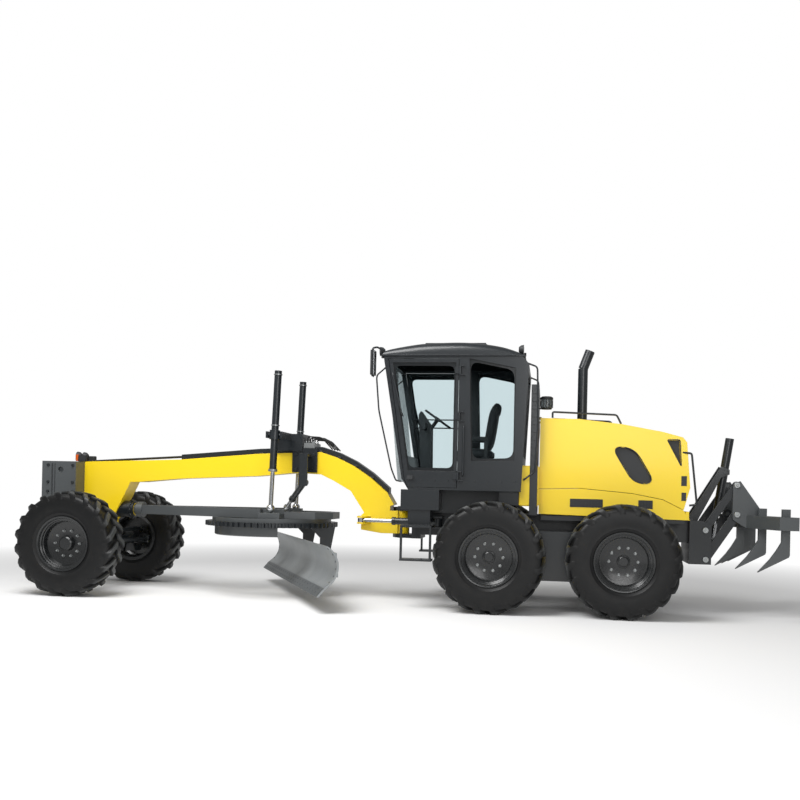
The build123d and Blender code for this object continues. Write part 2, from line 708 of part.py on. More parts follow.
roof_outline = [(110, 3200), (-342, 3312), (-939, 3325), (-1411, 3258), (-1660, 3160), (-1700, 3126), (90, 3126)]
roof = slab(roof_outline, -cab_half - 10, cab_half + 10)
lifting_eye = slab([(-990, 3320), (-950, 3375), (-915, 3375), (-875, 3320)], -10, 10)
lifting_eye -= bar((-932, -20, 3350), (-932, 20, 3350), 12)
nodes["cab_roof"] = roof + lifting_eye


def cab_glass():
    """Windscreen, rear window and rear side windows."""
    screen = slab([(-130, 1560), (-136, 1560), (18, 3075), (24, 3075)], -cab_half + 75, cab_half - 75)
    side = side_plate(rear_window, 0, cab_half - 30, cab_half - 22)
    back = slab([(-1655, 1900), (-1661, 1900), (-1706, 2950), (-1700, 2950)], -cab_half + 90, cab_half - 90)
    return both(side) + screen + back


nodes["cab_glass"] = cab_glass()


def door():
    """Left door frame and its glass, hinged on the middle post."""
    leaf = side_plate(door_outline, -door_gap, cab_half - door_thick, cab_half)
    leaf -= side_plate(door_window, 0, cab_half - door_thick - 10, cab_half + 10)
    for z in hinge_heights:
        leaf += bar((hinge_x, hinge_y, z - 45), (hinge_x, hinge_y, z + 45), 18)
        leaf += box(hinge_x, hinge_x + 60, cab_half + 2, hinge_y + 12, z - 40, z + 40)
        leaf += box(hinge_x + 20, hinge_x + 60, cab_half - 5, hinge_y + 12, z - 40, z + 40)
        leaf -= bar((hinge_x, hinge_y, z - 60), (hinge_x, hinge_y, z + 60), 8 + run_gap)
    glass = side_plate(door_window, 0, cab_half - 26, cab_half - 18)
    return leaf, glass


left_door, left_pane = door()
nodes["door_left"] = left_door
nodes["door_left_glass"] = left_pane
nodes["door_right"] = mirror(left_door, about=Plane.XZ)
nodes["door_right_glass"] = mirror(left_pane, about=Plane.XZ)

base = box(-1250, -850, -190, 190, cab_floor_z + cab_wall, 1880)
cushion = box(-1300, -800, -250, 250, 1880, 2000)
back = slab([(-1290, 1990), (-1190, 1990), (-1290, 2640), (-1390, 2640)], -230, 230)
rests = both(box(-1230, -900, 265, 320, 2110, 2160) + box(-1230, -1180, 245, 330, 1960, 2120))
nodes["seat"] = base + cushion + back + rests

column = slab([(-350, 1525), (-480, 1525), (-470, 2300), (-330, 2500), (-300, 2450)], -110, 110)
grip = [(174, -14), (174, 14), (206, 14), (206, -14)]
wheel = Rot(90, 0, 0) * turned([(y, r) for r, y in grip], 20) + Box(360, 30, 20) + Box(30, 360, 20)
wheel = Pos(-545, 0, 2400) * Rot(0, -35, 0) * (wheel + Cylinder(40, 40))
shaft = bar((-400, 0, 2200), (-545, 0, 2400), 25)
levers = both(box(-420, -380, 100, 330, 2250, 2330))
nodes["console"] = column + wheel + shaft + levers

# Upper hood and the fixed lower panels, seen from the side
hood_top = [(hood_front, 2385), (-2361, 2377), (-2876, 2320), (-3361, 2232), (hood_rear_top, 2168)]
crease = [(-3626, 1290), (-3379, 1412), (-3016, 1478), (-2404, 1527), (hood_front, 1510)]
lower_edge = [(-3700, 1165), (hood_front, 1200)]


def hood():
    """Tilting upper hood, a hollow shell with its side windows cut."""
    outline = hood_top + [(-3650, 2107), (hood_rear_low, 1560)] + crease
    outer = slab(outline, -hood_half, hood_half)
    inside = [(x, z - hood_wall) for x, z in hood_top]
    inside[0] = (hood_front - hood_wall, 2385 - hood_wall)
    inside[-1] = (hood_rear_top + 10, 2168 - hood_wall)
    inside += [(-3606, 2080), (-3655, 1560), (-3580, 1200), (hood_front - hood_wall, 1200)]
    part = outer - slab(inside, -hood_half + hood_wall, hood_half - hood_wall)
    window = [(-2760, 2044), (-3028, 2024), (-3278, 1606), (-3037, 1601)]
    part -= slab(window, -hood_half - 10, hood_half + 10)
    pin_x, pin_z = hood_pin
    for y0 in (-379, 301):
        part += bar((pin_x, y0, pin_z), (pin_x, y0 + 78, pin_z), 17)
        part -= bar((pin_x, y0 - 20, pin_z), (pin_x, y0 + 98, pin_z), 8 + run_gap)
    part -= bar((exhaust_x, 0, 2300), (exhaust_x, 0, 2450), exhaust_r)
    slot = [(-3423, 2129), (-3560, 2131), (-3580, 1835)]
    part -= slab(slot, -hood_half - 10, hood_half + 10)
    return part


nodes["hood"] = hood()

panel = slab([(x, z - 6) for x, z in crease] + [lower_edge[1], lower_edge[0]], hood_half - hood_wall, hood_half)
panels = both(panel)
panels += box(-3690, -3650, -hood_half, hood_half, rail_z1 + 2, 1270)
nodes["side_panels"] = panels

stack = bar((exhaust_x, 0, 2340), (exhaust_x, 0, 3070), exhaust_r)
stack += bar((exhaust_x, 0, 3070), (exhaust_x - 84, 0, 3300), exhaust_r)
stack -= bar((exhaust_x, 0, 2400), (exhaust_x, 0, 3070), exhaust_r - 8)
stack -= bar((exhaust_x, 0, 3070), (exhaust_x - 104, 0, 3355), exhaust_r - 8)
nodes["exhaust"] = stack

cowl = box(-1870, -1775, -cab_half + 60, cab_half - 60, rail_z1, 2790)
pin_x, pin_z = hood_pin
for y0 in (-395, 285):
    cowl += bar((pin_x, y0, pin_z), (pin_x, y0 + 110, pin_z), 8)
    for y in (y0, y0 + 96):
        cowl += bar((pin_x, y, pin_z), (pin_x, y + 14, pin_z), 12)
        cowl += box(pin_x, -1865, y, y + 14, pin_z - 10, pin_z + 10)
nodes["cowl"] = cowl
nodes["engine_block"] = box(-3440, -2515, -280, 280, rail_z1 + 0.3, 1900)


def link(pin, wide, y0, y1):
    """A ripper link between its hitch pin and its carriage pin."""
    x, z = pin
    dx, dz = link_run
    length = hypot(dx, dz)
    ux, uz = dx / length, dz / length
    nx, nz = -uz * wide / 2, ux * wide / 2
    shape = slab([(x + nx, z + nz), (x + dx + nx, z + dz + nz), (x + dx - nx, z + dz - nz), (x - nx, z - nz)], y0, y1)
    for px, pz in (pin, (x + dx, z + dz)):
        shape += bar((px, y0, pz), (px, y1, pz), wide / 2)
    for px, pz in (pin, (x + dx, z + dz)):
        shape -= bar((px, y0 - 5, pz), (px, y1 + 5, pz), 28 + run_gap)
    return shape


link_y1 = hitch_half - plate_thick - 5
link_y0 = link_y1 - 45


def on_link(pin, part_way):
    """The point part of the way along a link."""
    return (pin[0] + link_run[0] * part_way, pin[1] + link_run[1] * part_way)


eye_at = on_link(link_low_pin, 0.35)
tube_at = on_link(link_low_pin, 0.12)
low_link = both(link(link_low_pin, link_wide, link_y0, link_y1))
low_link += bar((tube_at[0], -link_y0 - 2, tube_at[1]), (tube_at[0], link_y0 + 2, tube_at[1]), 36)
ear = slab([(tube_at[0] + 36, tube_at[1]), (eye_at[0] + 52, eye_at[1]), (eye_at[0] + 20, eye_at[1] + 52),
            (eye_at[0] - 40, eye_at[1] + 30), (tube_at[0] - 36, tube_at[1])], 52, 74)
nodes["ripper_lower_link"] = low_link + both(ear)
nodes["ripper_upper_link"] = both(link(link_high_pin, link_wide - 20, link_y0, link_y1))

top_pin = on_link(link_high_pin, 1)
low_pin = on_link(link_low_pin, 1)


def shank(rear_x, y):
    """One curved tool with its tip ahead."""
    outline = [(90, 1330), (0, 1330), (0, 800), (10, 775), (348, 591), (215, 745), (144, 850), (90, 946)]
    return slab([(rear_x + x, z) for x, z in outline], y - shank_thick / 2, y + shank_thick / 2)


shanks = None
for y in (-900, -450, 0, 450, 900):
    tool = shank(-4450 - 0.36 * abs(y), y)
    shanks = tool if shanks is None else shanks + tool


def ripper_frame():
    """Carriage with the cheeks on the link pins and the V-shaped tool beam."""
    cheek = slab([(top_pin[0] + 45, top_pin[1] + 20), (top_pin[0] - 40, top_pin[1] + 50), (-4620, 1240),
                  (-4620, 1085), (-4400, 1085), (low_pin[0] + 50, low_pin[1] - 60), (low_pin[0] + 55, low_pin[1] + 20)],
                 link_y1 + 5, link_y1 + 40)
    part = both(cheek)
    for x, z in (top_pin, low_pin):
        part += both(bar((x, link_y0 + 5, z), (x, link_y1 + 45, z), 28))
    sweep = 0.343 * beam_half
    part += plan([(-4285, 0), (-4285 - sweep, beam_half), (-4500 - sweep, beam_half), (-4500, 0),
                  (-4500 - sweep, -beam_half), (-4285 - sweep, -beam_half)], 1085, 1240)
    return part - shanks


nodes["ripper_frame"] = ripper_frame()
nodes["ripper_shanks"] = shanks

# Ripper cylinder, hung in a yoke above the hitch
ripper_top = (-4190, 0, 1770)
ripper_eye = (eye_at[0], 0, eye_at[1])
ripper_barrel, ripper_rod, ripper_total = plain_cylinder(ripper_top, ripper_eye, 560, 52, 30, 200)
cap_end = along(ripper_top, ripper_eye, -430)
ripper_barrel += bar(cap_end, ripper_top, 52)
ripper_barrel += bar((ripper_top[0], -112, ripper_top[2]), (ripper_top[0], 112, ripper_top[2]), 28)
nodes["ripper_barrel"] = ripper_barrel
nodes["ripper_rod"] = ripper_rod + bar((ripper_eye[0], -40, ripper_eye[2]), (ripper_eye[0], 40, ripper_eye[2]), 46)

for name, piece in nodes.items():
    export_step(piece, f"parts/{name}.step")
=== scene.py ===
import math
import bpy
import bmesh
from mathutils import Matrix, Vector


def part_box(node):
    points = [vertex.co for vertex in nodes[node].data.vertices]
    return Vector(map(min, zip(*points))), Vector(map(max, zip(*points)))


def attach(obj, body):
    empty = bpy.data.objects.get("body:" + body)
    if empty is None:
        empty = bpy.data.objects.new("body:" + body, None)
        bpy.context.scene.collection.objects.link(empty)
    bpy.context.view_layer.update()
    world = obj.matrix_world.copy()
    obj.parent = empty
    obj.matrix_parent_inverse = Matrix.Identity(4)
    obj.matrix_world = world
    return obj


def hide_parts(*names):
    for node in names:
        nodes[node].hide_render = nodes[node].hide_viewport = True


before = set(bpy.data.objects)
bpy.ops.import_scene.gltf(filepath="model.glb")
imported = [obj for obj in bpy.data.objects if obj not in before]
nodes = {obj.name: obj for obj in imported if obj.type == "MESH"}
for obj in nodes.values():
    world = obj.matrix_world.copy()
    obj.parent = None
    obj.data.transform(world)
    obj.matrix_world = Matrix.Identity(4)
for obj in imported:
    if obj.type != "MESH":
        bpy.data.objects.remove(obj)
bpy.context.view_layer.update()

scene = bpy.context.scene
scene.view_settings.view_transform = "Standard"


# Boom and hood: steel plate, shot-blasted and sprayed with a two-pack yellow
# machine enamel. It dries to a smooth satin gloss with a slight orange peel,
# and gathers a thin film of dust low down.
def linear(code):
    """An sRGB hex colour as linear red, green, blue and alpha."""
    parts = [int(code[i:i + 2], 16) / 255 for i in (1, 3, 5)]
    return [p / 12.92 if p <= 0.04045 else ((p + 0.055) / 1.055) ** 2.4 for p in parts] + [1.0]


def add(tree, kind, settings=None, links=None):
    """Adds one shader node with its settings and the sockets that feed it."""
    made = tree.nodes.new(kind)
    for name, value in (settings or {}).items():
        if isinstance(name, int) or name in made.inputs:
            made.inputs[name].default_value = value
        else:
            setattr(made, name, value)
    for name, source in (links or {}).items():
        tree.links.new(source, made.inputs[name])
    return made


def surface(tree, settings, links=None):
    """Ends a material's tree with its one principled shader."""
    skin = add(tree, "ShaderNodeBsdfPrincipled", settings, links)
    add(tree, "ShaderNodeOutputMaterial", links={"Surface": skin.outputs[0]})


def blend(tree, first, second, amount):
    """The colour part of the way between two sRGB hex colours."""
    settings = {"data_type": "RGBA", 6: linear(first), 7: linear(second)}
    return add(tree, "ShaderNodeMix", settings, {0: amount}).outputs[2]


def start(name):
    """A new material's tree and its place along the object."""
    material = bpy.data.materials.new(name)
    material.use_nodes = True
    tree = material.node_tree
    tree.nodes.clear()
    place = add(tree, "ShaderNodeTexCoord").outputs["Object"]
    return material, tree, place


def sprayed_enamel(name, colour, dust, roughness, peel_mm=2.5, edge_mm=5):
    """Sprayed enamel over steel, with dust, faint mottling and softened edges."""
    material, tree, place = start(name)
    mottle = add(tree, "ShaderNodeTexNoise", {"Scale": 1 / 0.35, "Detail": 4.0}, {"Vector": place})
    spots = add(tree, "ShaderNodeTexNoise", {"Scale": 1 / 0.02, "Detail": 3.0}, {"Vector": place})
    height = add(tree, "ShaderNodeSeparateXYZ", links={0: place}).outputs["Z"]
    low = add(tree, "ShaderNodeMapRange", {"From Min": 1.7, "From Max": 0.2, "To Min": 0.01, "To Max": 0.14},
              {"Value": height}).outputs[0]
    film = add(tree, "ShaderNodeMath", {"operation": "MULTIPLY"}, {0: low, 1: mottle.outputs[0]}).outputs[0]
    tint = blend(tree, colour, dust, film)
    shade = add(tree, "ShaderNodeMapRange", {"From Min": 0.35, "From Max": 0.65, "To Min": roughness - 0.05,
                                             "To Max": roughness + 0.08}, {"Value": spots.outputs[0]})
    peel = add(tree, "ShaderNodeTexNoise", {"Scale": 1000 / peel_mm, "Detail": 1.0}, {"Vector": place})
    edge = add(tree, "ShaderNodeBevel", {"samples": 4, "Radius": edge_mm / 1000})
    bump = add(tree, "ShaderNodeBump", {"Strength": 0.02, "Distance": 0.0003},
               {"Height": peel.outputs[0], "Normal": edge.outputs[0]})
    surface(tree, {"Coat Weight": 0.35, "Coat Roughness": 0.12},
            {"Base Color": tint, "Roughness": shade.outputs[0], "Normal": bump.outputs[0]})
    return material


def finish_with(material, *names):
    """Gives CAD pieces their finish."""
    for name in names:
        nodes[name].data.materials.clear()
        nodes[name].data.materials.append(material)


yellow = sprayed_enamel("yellow machine enamel", "#F8D512", "#B9A88A", 0.34)
finish_with(yellow, "hood", "side_panels", "front_frame")

# Cab frame, ripper, rims and axles: the same plate and castings in a satin
# charcoal enamel. The darker finish shows dust sooner than the yellow does.
charcoal = sprayed_enamel("charcoal machine enamel", "#10171C", "#5C564D", 0.36)
graphite = sprayed_enamel("graphite machine enamel", "#484C4E", "#7C766C", 0.42)
finish_with(charcoal, "rear_frame", "tandem_cases", "saddle", "front_axle", "circle", "blade_carrier",
            "cab_roof", "cab_frame", "door_left", "door_right", "knuckle_left", "knuckle_right",
            "carrier_left", "carrier_right", "lean_bar", "tie_rod", "tie_rod_ball", "exhaust",
            "engine_block", "cowl", "shift_barrel", "articulation_barrel_left",
            "articulation_barrel_right", "lift_barrel_left", "lift_barrel_right", "ripper_barrel",
            "ripper_lower_link", "ripper_upper_link")
finish_with(graphite, "push_block", "drawbar", "drawbar_ball", "ripper_frame", "ripper_shanks")


# Tyres: black carbon-filled rubber from a steel mould, with a fine grit left by
# the mould. The lug tops are painted a lighter grey, partly scuffed where they
# meet the ground and partly a painted highlight. Each has twenty
# swept lugs on either side of the middle, set half a pitch apart.
def mesh_piece(name, build, material, smooth_deg=35):
    """A mesh object made by a function that fills a bmesh."""
    bm = bmesh.new()
    build(bm)
    bmesh.ops.remove_doubles(bm, verts=bm.verts, dist=1e-5)
    bmesh.ops.recalc_face_normals(bm, faces=bm.faces)
    mesh = bpy.data.meshes.new(name)
    bm.to_mesh(mesh)
    bm.free()
    mesh.materials.append(material)
    mesh.shade_smooth()
    mesh.set_sharp_from_angle(angle=math.radians(smooth_deg))
    piece = bpy.data.objects.new(name, mesh)
    scene.collection.objects.link(piece)
    return piece


def spun(bm, profile, turns, side=1):
    """A closed profile of (y, radius) in millimetres, spun about Y."""
    rings = []
    for y, r in profile:
        count = 1 if r == 0 else turns
        rings.append([bm.verts.new((r / 1000 * math.cos(2 * math.pi * k / turns), side * y / 1000,
                                    r / 1000 * math.sin(2 * math.pi * k / turns))) for k in range(count)])
    for ring, after in zip(rings, rings[1:] + rings[:1]):
        for k in range(turns):
            corners = []
            for vert in (ring[k % len(ring)], ring[(k + 1) % len(ring)],
                         after[(k + 1) % len(after)], after[k % len(after)]):
                if vert not in corners:
                    corners.append(vert)
            if len(corners) > 2:
                bm.faces.new(corners)


def lug(bm, turn, side, half):
    """One swept lug on one half of the tread, from the middle over the shoulder."""
    rows = ((8, 672, 628, 0.0), (105, 673, 630, 5.0), (182, 667, 620, 10.0), (215, 622, 600, 13.5),
            (220, 560, 556, 15.0))
    before = None
    for y, top, base, sweep in rows:
        middle = turn + math.radians(sweep)
        verts = []
        for r, wide in ((base, 78), (top, 58), (top, -58), (base, -78)):
            a = middle + wide / 2 / r
            out = y if r == top else min(y, 214)
            verts.append(bm.verts.new((r / 1000 * math.cos(a), half * side * out / 1000,
                                       r / 1000 * math.sin(a))))
        if before is None:
            bm.faces.new(verts)
        else:
            for k in range(3):
                bm.faces.new((before[k], before[k + 1], verts[k + 1], verts[k]))
        before = verts
    bm.faces.new(reversed(before))


def tyre(bm, side):
    """Carcass with moulded rings on its walls, and both rows of lugs."""
    wall = [(192, 350), (203, 366), (211, 388), (217, 394), (217, 402), (216, 408), (221, 440), (222, 500),
            (219, 556), (213, 590), (200, 616), (176, 630), (90, 634)]
    spun(bm, wall + [(-y, r) for y, r in reversed(wall)] + [(-185, 320), (185, 320)], 96, side)
    pitch = 2 * math.pi / 20
    for k in range(20):
        lug(bm, k * pitch, side, 1)
        lug(bm, (k + 0.5) * pitch, side, -1)


rubber, tree, place = start("moulded tyre rubber")
grit = add(tree, "ShaderNodeTexNoise", {"Scale": 1 / 0.004, "Detail": 2.0}, {"Vector": place})
dusting = add(tree, "ShaderNodeTexNoise", {"Scale": 1 / 0.09, "Detail": 5.0}, {"Vector": place})
amount = add(tree, "ShaderNodeMapRange", {"From Min": 0.45, "From Max": 0.8, "To Max": 0.35},
             {"Value": dusting.outputs[0]})
tint = blend(tree, "#08090A", "#1E1C1A", amount.outputs[0])
across = add(tree, "ShaderNodeMapping", {"Scale": (1, 0, 1)}, {"Vector": place})
reach = add(tree, "ShaderNodeVectorMath", {"operation": "LENGTH"}, {0: across.outputs[0]}).outputs["Value"]
# Lug tops beyond 0.64 m from the hub turn lighter grey: partly scuffing, partly a painted highlight.
scuff_and_highlight = add(tree, "ShaderNodeMapRange", {"From Min": 0.64, "From Max": 0.672, "To Max": 0.75},
            {"Value": reach})
worn = add(tree, "ShaderNodeMix", {"data_type": "RGBA", 7: linear("#4A4C4C")}, {0: scuff_and_highlight.outputs[0], 6: tint})
bump = add(tree, "ShaderNodeBump", {"Strength": 0.25, "Distance": 0.0006}, {"Height": grit.outputs[0]})
surface(tree, {"Roughness": 0.45, "Specular IOR Level": 0.35},
        {"Base Color": worn.outputs[2], "Normal": bump.outputs[0]})


# Wheels: pressed steel rims welded to a disc and sprayed in satin black enamel.
# The front hubs have a cap that stands out of the disc.
def hexagon(bm, x, y, z, across, tall, axis_y=1):
    """A hexagonal nut or bolt head on a face that looks along Y."""
    rim = []
    for out in (0, tall * 0.8, tall):
        r = across / 2 / math.cos(math.pi / 6) * (0.86 if out == tall else 1.0)
        rim.append([bm.verts.new((x + r * math.cos(math.pi / 3 * k), y + out * axis_y,
                                  z + r * math.sin(math.pi / 3 * k)))
                    for k in range(6)])
    for low, high in zip(rim, rim[1:]):
        for k in range(6):
            bm.faces.new((low[k], low[(k + 1) % 6], high[(k + 1) % 6], high[k]))
    bm.faces.new(rim[2])


def wheel(bm, side, disc, cap_r, cap_out, hub_r, reach, bore):
    """Rim and disc, spun from one section."""
    section = [(207, 340), (207, 350), (201, 353), (195, 350), (192, 322), (170, 318), (-170, 318),
               (-192, 322),
               (-195, 350), (-201, 353), (-207, 350), (-207, 340), (-200, 306), (disc - 40, 300),
               (disc - 14, 270),
               (disc - 14, hub_r), (reach, hub_r), (reach, bore), (disc - 4, bore), (disc - 4, 0),
               (disc + cap_out, 0), (disc + cap_out, cap_r - 22), (disc + cap_out - 10, cap_r - 8),
               (disc + 30, cap_r),
               (disc + 15, cap_r + 6), (disc + 15, 240), (disc + 22, 256), (disc + 24, 276),
               (disc + 60, 284), (132, 290), (138, 300), (164, 302),
               (176, 322), (200, 328)]
    spun(bm, section, 96, side)


both_sides = (("left", 1), ("right", -1))
wheel_grey = sprayed_enamel("wheel enamel", "#141719", "#3A3733", 0.30, edge_mm=1)
front_wheel = dict(disc=40, cap_r=95, cap_out=85, hub_r=88, reach=-60, bore=50.5)
rear_wheel = dict(disc=30, cap_r=72, cap_out=42, hub_r=140, reach=-150, bore=90.5)
for side_name, side in both_sides:
    for row, sizes in (("front", front_wheel), ("middle", rear_wheel), ("rear", rear_wheel)):
        low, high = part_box(f"tyre_{row}_{side_name}")
        hub = (low + high) / 2
        body = f"wheel_{row}_{side_name}"
        lugged = mesh_piece(f"lugged_tyre_{row}_{side_name}", lambda bm: tyre(bm, side), rubber)
        pressed = mesh_piece(f"pressed_rim_{row}_{side_name}", lambda bm: wheel(bm, side, **sizes),
                             wheel_grey)
        for piece, node, slot in ((lugged, "tyre", "tyre_rubber"), (pressed, "rim", "charcoal_paint")):
            piece.location = hub
            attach(piece, body)
            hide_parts(f"{node}_{row}_{side_name}")


# Cylinder rods: ground steel with hard chrome, mirror bright, and a light oil
# film that leaves faint rings along the stroke.
chrome, tree, place = start("hard chrome plate")
rings = add(tree, "ShaderNodeTexNoise", {"Scale": 1 / 0.012, "Detail": 2.0}, {"Vector": place})
shade = add(tree, "ShaderNodeMapRange", {"To Min": 0.10, "To Max": 0.24}, {"Value": rings.outputs[0]})
surface(tree, {"Base Color": linear("#C9CBCD"), "Metallic": 1.0}, {"Roughness": shade.outputs[0]})
finish_with(chrome, "lift_rod_left", "lift_rod_right", "shift_rod", "articulation_rod_left",
            "articulation_rod_right", "ripper_rod")

# Moldboard: rolled wear-resistant steel, sprayed grey. The soil it turns rubs
# fine upright scratches into the face.
blade_steel, tree, place = start("grey sprayed blade steel")
stretch = add(tree, "ShaderNodeMapping", {"Scale": (1 / 0.006, 1 / 0.006, 1 / 0.18)}, {"Vector": place})
scratch = add(tree, "ShaderNodeTexNoise", {"Scale": 1.0, "Detail": 4.0}, {"Vector": stretch.outputs[0]})
cloud = add(tree, "ShaderNodeTexNoise", {"Scale": 1 / 0.3, "Detail": 5.0}, {"Vector": place})
tint = blend(tree, "#83878A", "#A5A9A9", cloud.outputs[0])
shade = add(tree, "ShaderNodeMapRange", {"From Min": 0.3, "From Max": 0.7, "To Min": 0.34, "To Max": 0.5},
            {"Value": scratch.outputs[0]})
edge = add(tree, "ShaderNodeBevel", {"samples": 4, "Radius": 0.003})
bump = add(tree, "ShaderNodeBump", {"Strength": 0.12, "Distance": 0.0004},
           {"Height": scratch.outputs[0], "Normal": edge.outputs[0]})
surface(tree, {"Metallic": 0.35},
        {"Base Color": tint, "Roughness": shade.outputs[0], "Normal": bump.outputs[0]})
finish_with(blade_steel, "moldboard")

# Cab glazing: toughened float glass with a grey-green tint in the melt, flat
# and clean, that mirrors the room at a slant.
glazing, tree, place = start("tinted toughened glass")
wave = add(tree, "ShaderNodeTexNoise", {"Scale": 1 / 0.5, "Detail": 1.0}, {"Vector": place})
bump = add(tree, "ShaderNodeBump", {"Strength": 0.02, "Distance": 0.0005}, {"Height": wave.outputs[0]})
pane = add(tree, "ShaderNodeBsdfTransparent", {"Color": linear("#F3F8F9")})
gloss = add(tree, "ShaderNodeBsdfPrincipled", {"Base Color": linear("#20282A"), "Roughness": 0.06},
            {"Normal": bump.outputs[0]})
slant = add(tree, "ShaderNodeLayerWeight", {"Blend": 0.5}).outputs["Facing"]
steep = add(tree, "ShaderNodeMath", {"operation": "POWER", 1: 4.0}, {0: slant})
share = add(tree, "ShaderNodeMapRange", {"To Min": 0.02, "To Max": 0.8}, {"Value": steep.outputs[0]})
skin = add(tree, "ShaderNodeMixShader", links={0: share.outputs[0], 1: pane.outputs[0], 2: gloss.outputs[0]})
add(tree, "ShaderNodeOutputMaterial", links={"Surface": skin.outputs[0]})
finish_with(glazing, "cab_glass", "door_left_glass", "door_right_glass")

# Dashboard, column and seat base: injection-moulded black plastic with a fine
# leather grain from the mould.
plastic, tree, place = start("grained black plastic")
grain = add(tree, "ShaderNodeTexVoronoi", {"Scale": 1 / 0.004}, {"Vector": place})
bump = add(tree, "ShaderNodeBump", {"Strength": 0.15, "Distance": 0.0004}, {"Height": grain.outputs[0]})
tone = add(tree, "ShaderNodeTexNoise", {"Scale": 1 / 0.2}, {"Vector": place})
tint = blend(tree, "#26282A", "#303234", tone.outputs[0])
surface(tree, {"Roughness": 0.55}, {"Base Color": tint, "Normal": bump.outputs[0]})
finish_with(plastic, "console")


# Seat: foam cushions under a woven charcoal cover, on a moulded base.
# The cushions are crowned, and their sides draw in at the corners.
def cushion(bm, size, place, tilt=0.0, crown=0.02):
    """A crowned block with pulled-in sides, its corners well rounded."""
    steps = 10
    half = Vector(size) / 2
    turn = Matrix.Rotation(tilt, 4, "Y")
    grid = {}
    for top in (1, -1):
        for i in range(steps + 1):
            for j in range(steps + 1):
                u, v = 2 * i / steps - 1, 2 * j / steps - 1
                swell = (1 - u ** 4) * (1 - v ** 4)
                pull = 1 - 0.05 * (1 - swell)
                point = Vector((half.x * u * pull, half.y * v * pull,
                                top * (half.z * (0.55 + 0.45 * swell ** 0.4) + crown * swell)))
                grid[top, i, j] = bm.verts.new(turn @ point + Vector(place))
    for top in (1, -1):
        for i in range(steps):
            for j in range(steps):
                bm.faces.new((grid[top, i, j], grid[top, i + 1, j], grid[top, i + 1, j + 1],
                              grid[top, i, j + 1]))
    edge = ([(i, 0) for i in range(steps)] + [(steps, j) for j in range(steps)]
            + [(i, steps) for i in range(steps, 0, -1)] + [(0, j) for j in range(steps, 0, -1)])
    for (i, j), (m, n) in zip(edge, edge[1:] + edge[:1]):
        bm.faces.new((grid[1, i, j], grid[1, m, n], grid[-1, m, n], grid[-1, i, j]))


cloth, tree, place = start("woven seat cover")
weave = add(tree, "ShaderNodeTexBrick",
            {"Scale": 1 / 0.012, "Color1": (1, 1, 1, 1), "Color2": (0.6, 0.6, 0.6, 1),
                                         "Mortar": (0, 0, 0, 1)}, {"Vector": place})
tint = blend(tree, "#191A1C", "#2C2E31", weave.outputs[0])
bump = add(tree, "ShaderNodeBump", {"Strength": 0.3, "Distance": 0.0008}, {"Height": weave.outputs[0]})
surface(tree, {"Roughness": 0.85, "Sheen Weight": 0.2}, {"Base Color": tint, "Normal": bump.outputs[0]})
low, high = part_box("seat")
seat_y = (low.y + high.y) / 2
pads = (("seat_cushion", (0.50, 0.50, 0.11), (low.x + 0.34, seat_y, low.z + 0.415), 0.0),
        ("seat_back", (0.09, 0.46, 0.58), (low.x + 0.13, seat_y, low.z + 0.76), -0.15),
        ("seat_head_rest", (0.07, 0.27, 0.17), (low.x + 0.07, seat_y, low.z + 1.00), -0.15))
for name, size, place, tilt in pads:
    flat = size if name == "seat_cushion" else (size[2], size[1], size[0])
    turned = tilt if name == "seat_cushion" else tilt - math.pi / 2
    pad = mesh_piece(name, lambda bm: cushion(bm, flat, place, turned), cloth, 60)
    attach(pad, "rear_frame")
    if name == "seat_cushion":
        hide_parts("seat")


def block(bm, x0, x1, y0, y1, z0, z1, ease=0.006):
    """A block with eased edges, from its lowest to its highest corner, in metres."""
    made = bmesh.ops.create_cube(bm, size=1.0)["verts"]
    for vert in made:
        vert.co = Vector(((x0 + x1) / 2 + vert.co.x * (x1 - x0), (y0 + y1) / 2 + vert.co.y * (y1 - y0),
                          (z0 + z1) / 2 + vert.co.z * (z1 - z0)))
    edges = list({edge for vert in made for edge in vert.link_edges})
    if ease:
        bmesh.ops.bevel(bm, geom=edges, offset=ease, segments=2, affect="EDGES")


def seat_base(bm):
    """Box, bellows and arm rests under and beside the cushions."""
    block(bm, low.x + 0.14, low.x + 0.54, seat_y - 0.19, seat_y + 0.19, low.z, low.z + 0.12, 0.01)
    for k in range(5):
        z = low.z + 0.13 + 0.04 * k
        block(bm, low.x + 0.17, low.x + 0.51, seat_y - 0.17, seat_y + 0.17, z, z + 0.03, 0.012)
    block(bm, low.x + 0.10, low.x + 0.58, seat_y - 0.22, seat_y + 0.22, low.z + 0.32, low.z + 0.37, 0.01)
    for side in (-1, 1):
        y = seat_y + side * 0.29
        block(bm, low.x + 0.16, low.x + 0.49, y - 0.035, y + 0.035, low.z + 0.59, low.z + 0.635, 0.015)
        block(bm, low.x + 0.16, low.x + 0.21, y - 0.02, y + 0.02, low.z + 0.36, low.z + 0.6, 0.008)
        block(bm, low.x + 0.14, low.x + 0.24, min(y, seat_y + side * 0.2), max(y, seat_y + side * 0.2),
              low.z + 0.35, low.z + 0.38, 0.006)
        block(bm, low.x + 0.44, low.x + 0.46, y - 0.01, y + 0.01, low.z + 0.63, low.z + 0.74, 0.005)


piece = mesh_piece("seat_base", seat_base, plastic)
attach(piece, "rear_frame")


# Cab trim: extruded rubber seals round the side panes, tubular grab rails in black
# enamel, and mirrors, handles and lamps of moulded plastic bolted to the posts.
def mm(*points):
    """Points in millimetres as vectors in metres."""
    return [Vector(p) / 1000 for p in points]


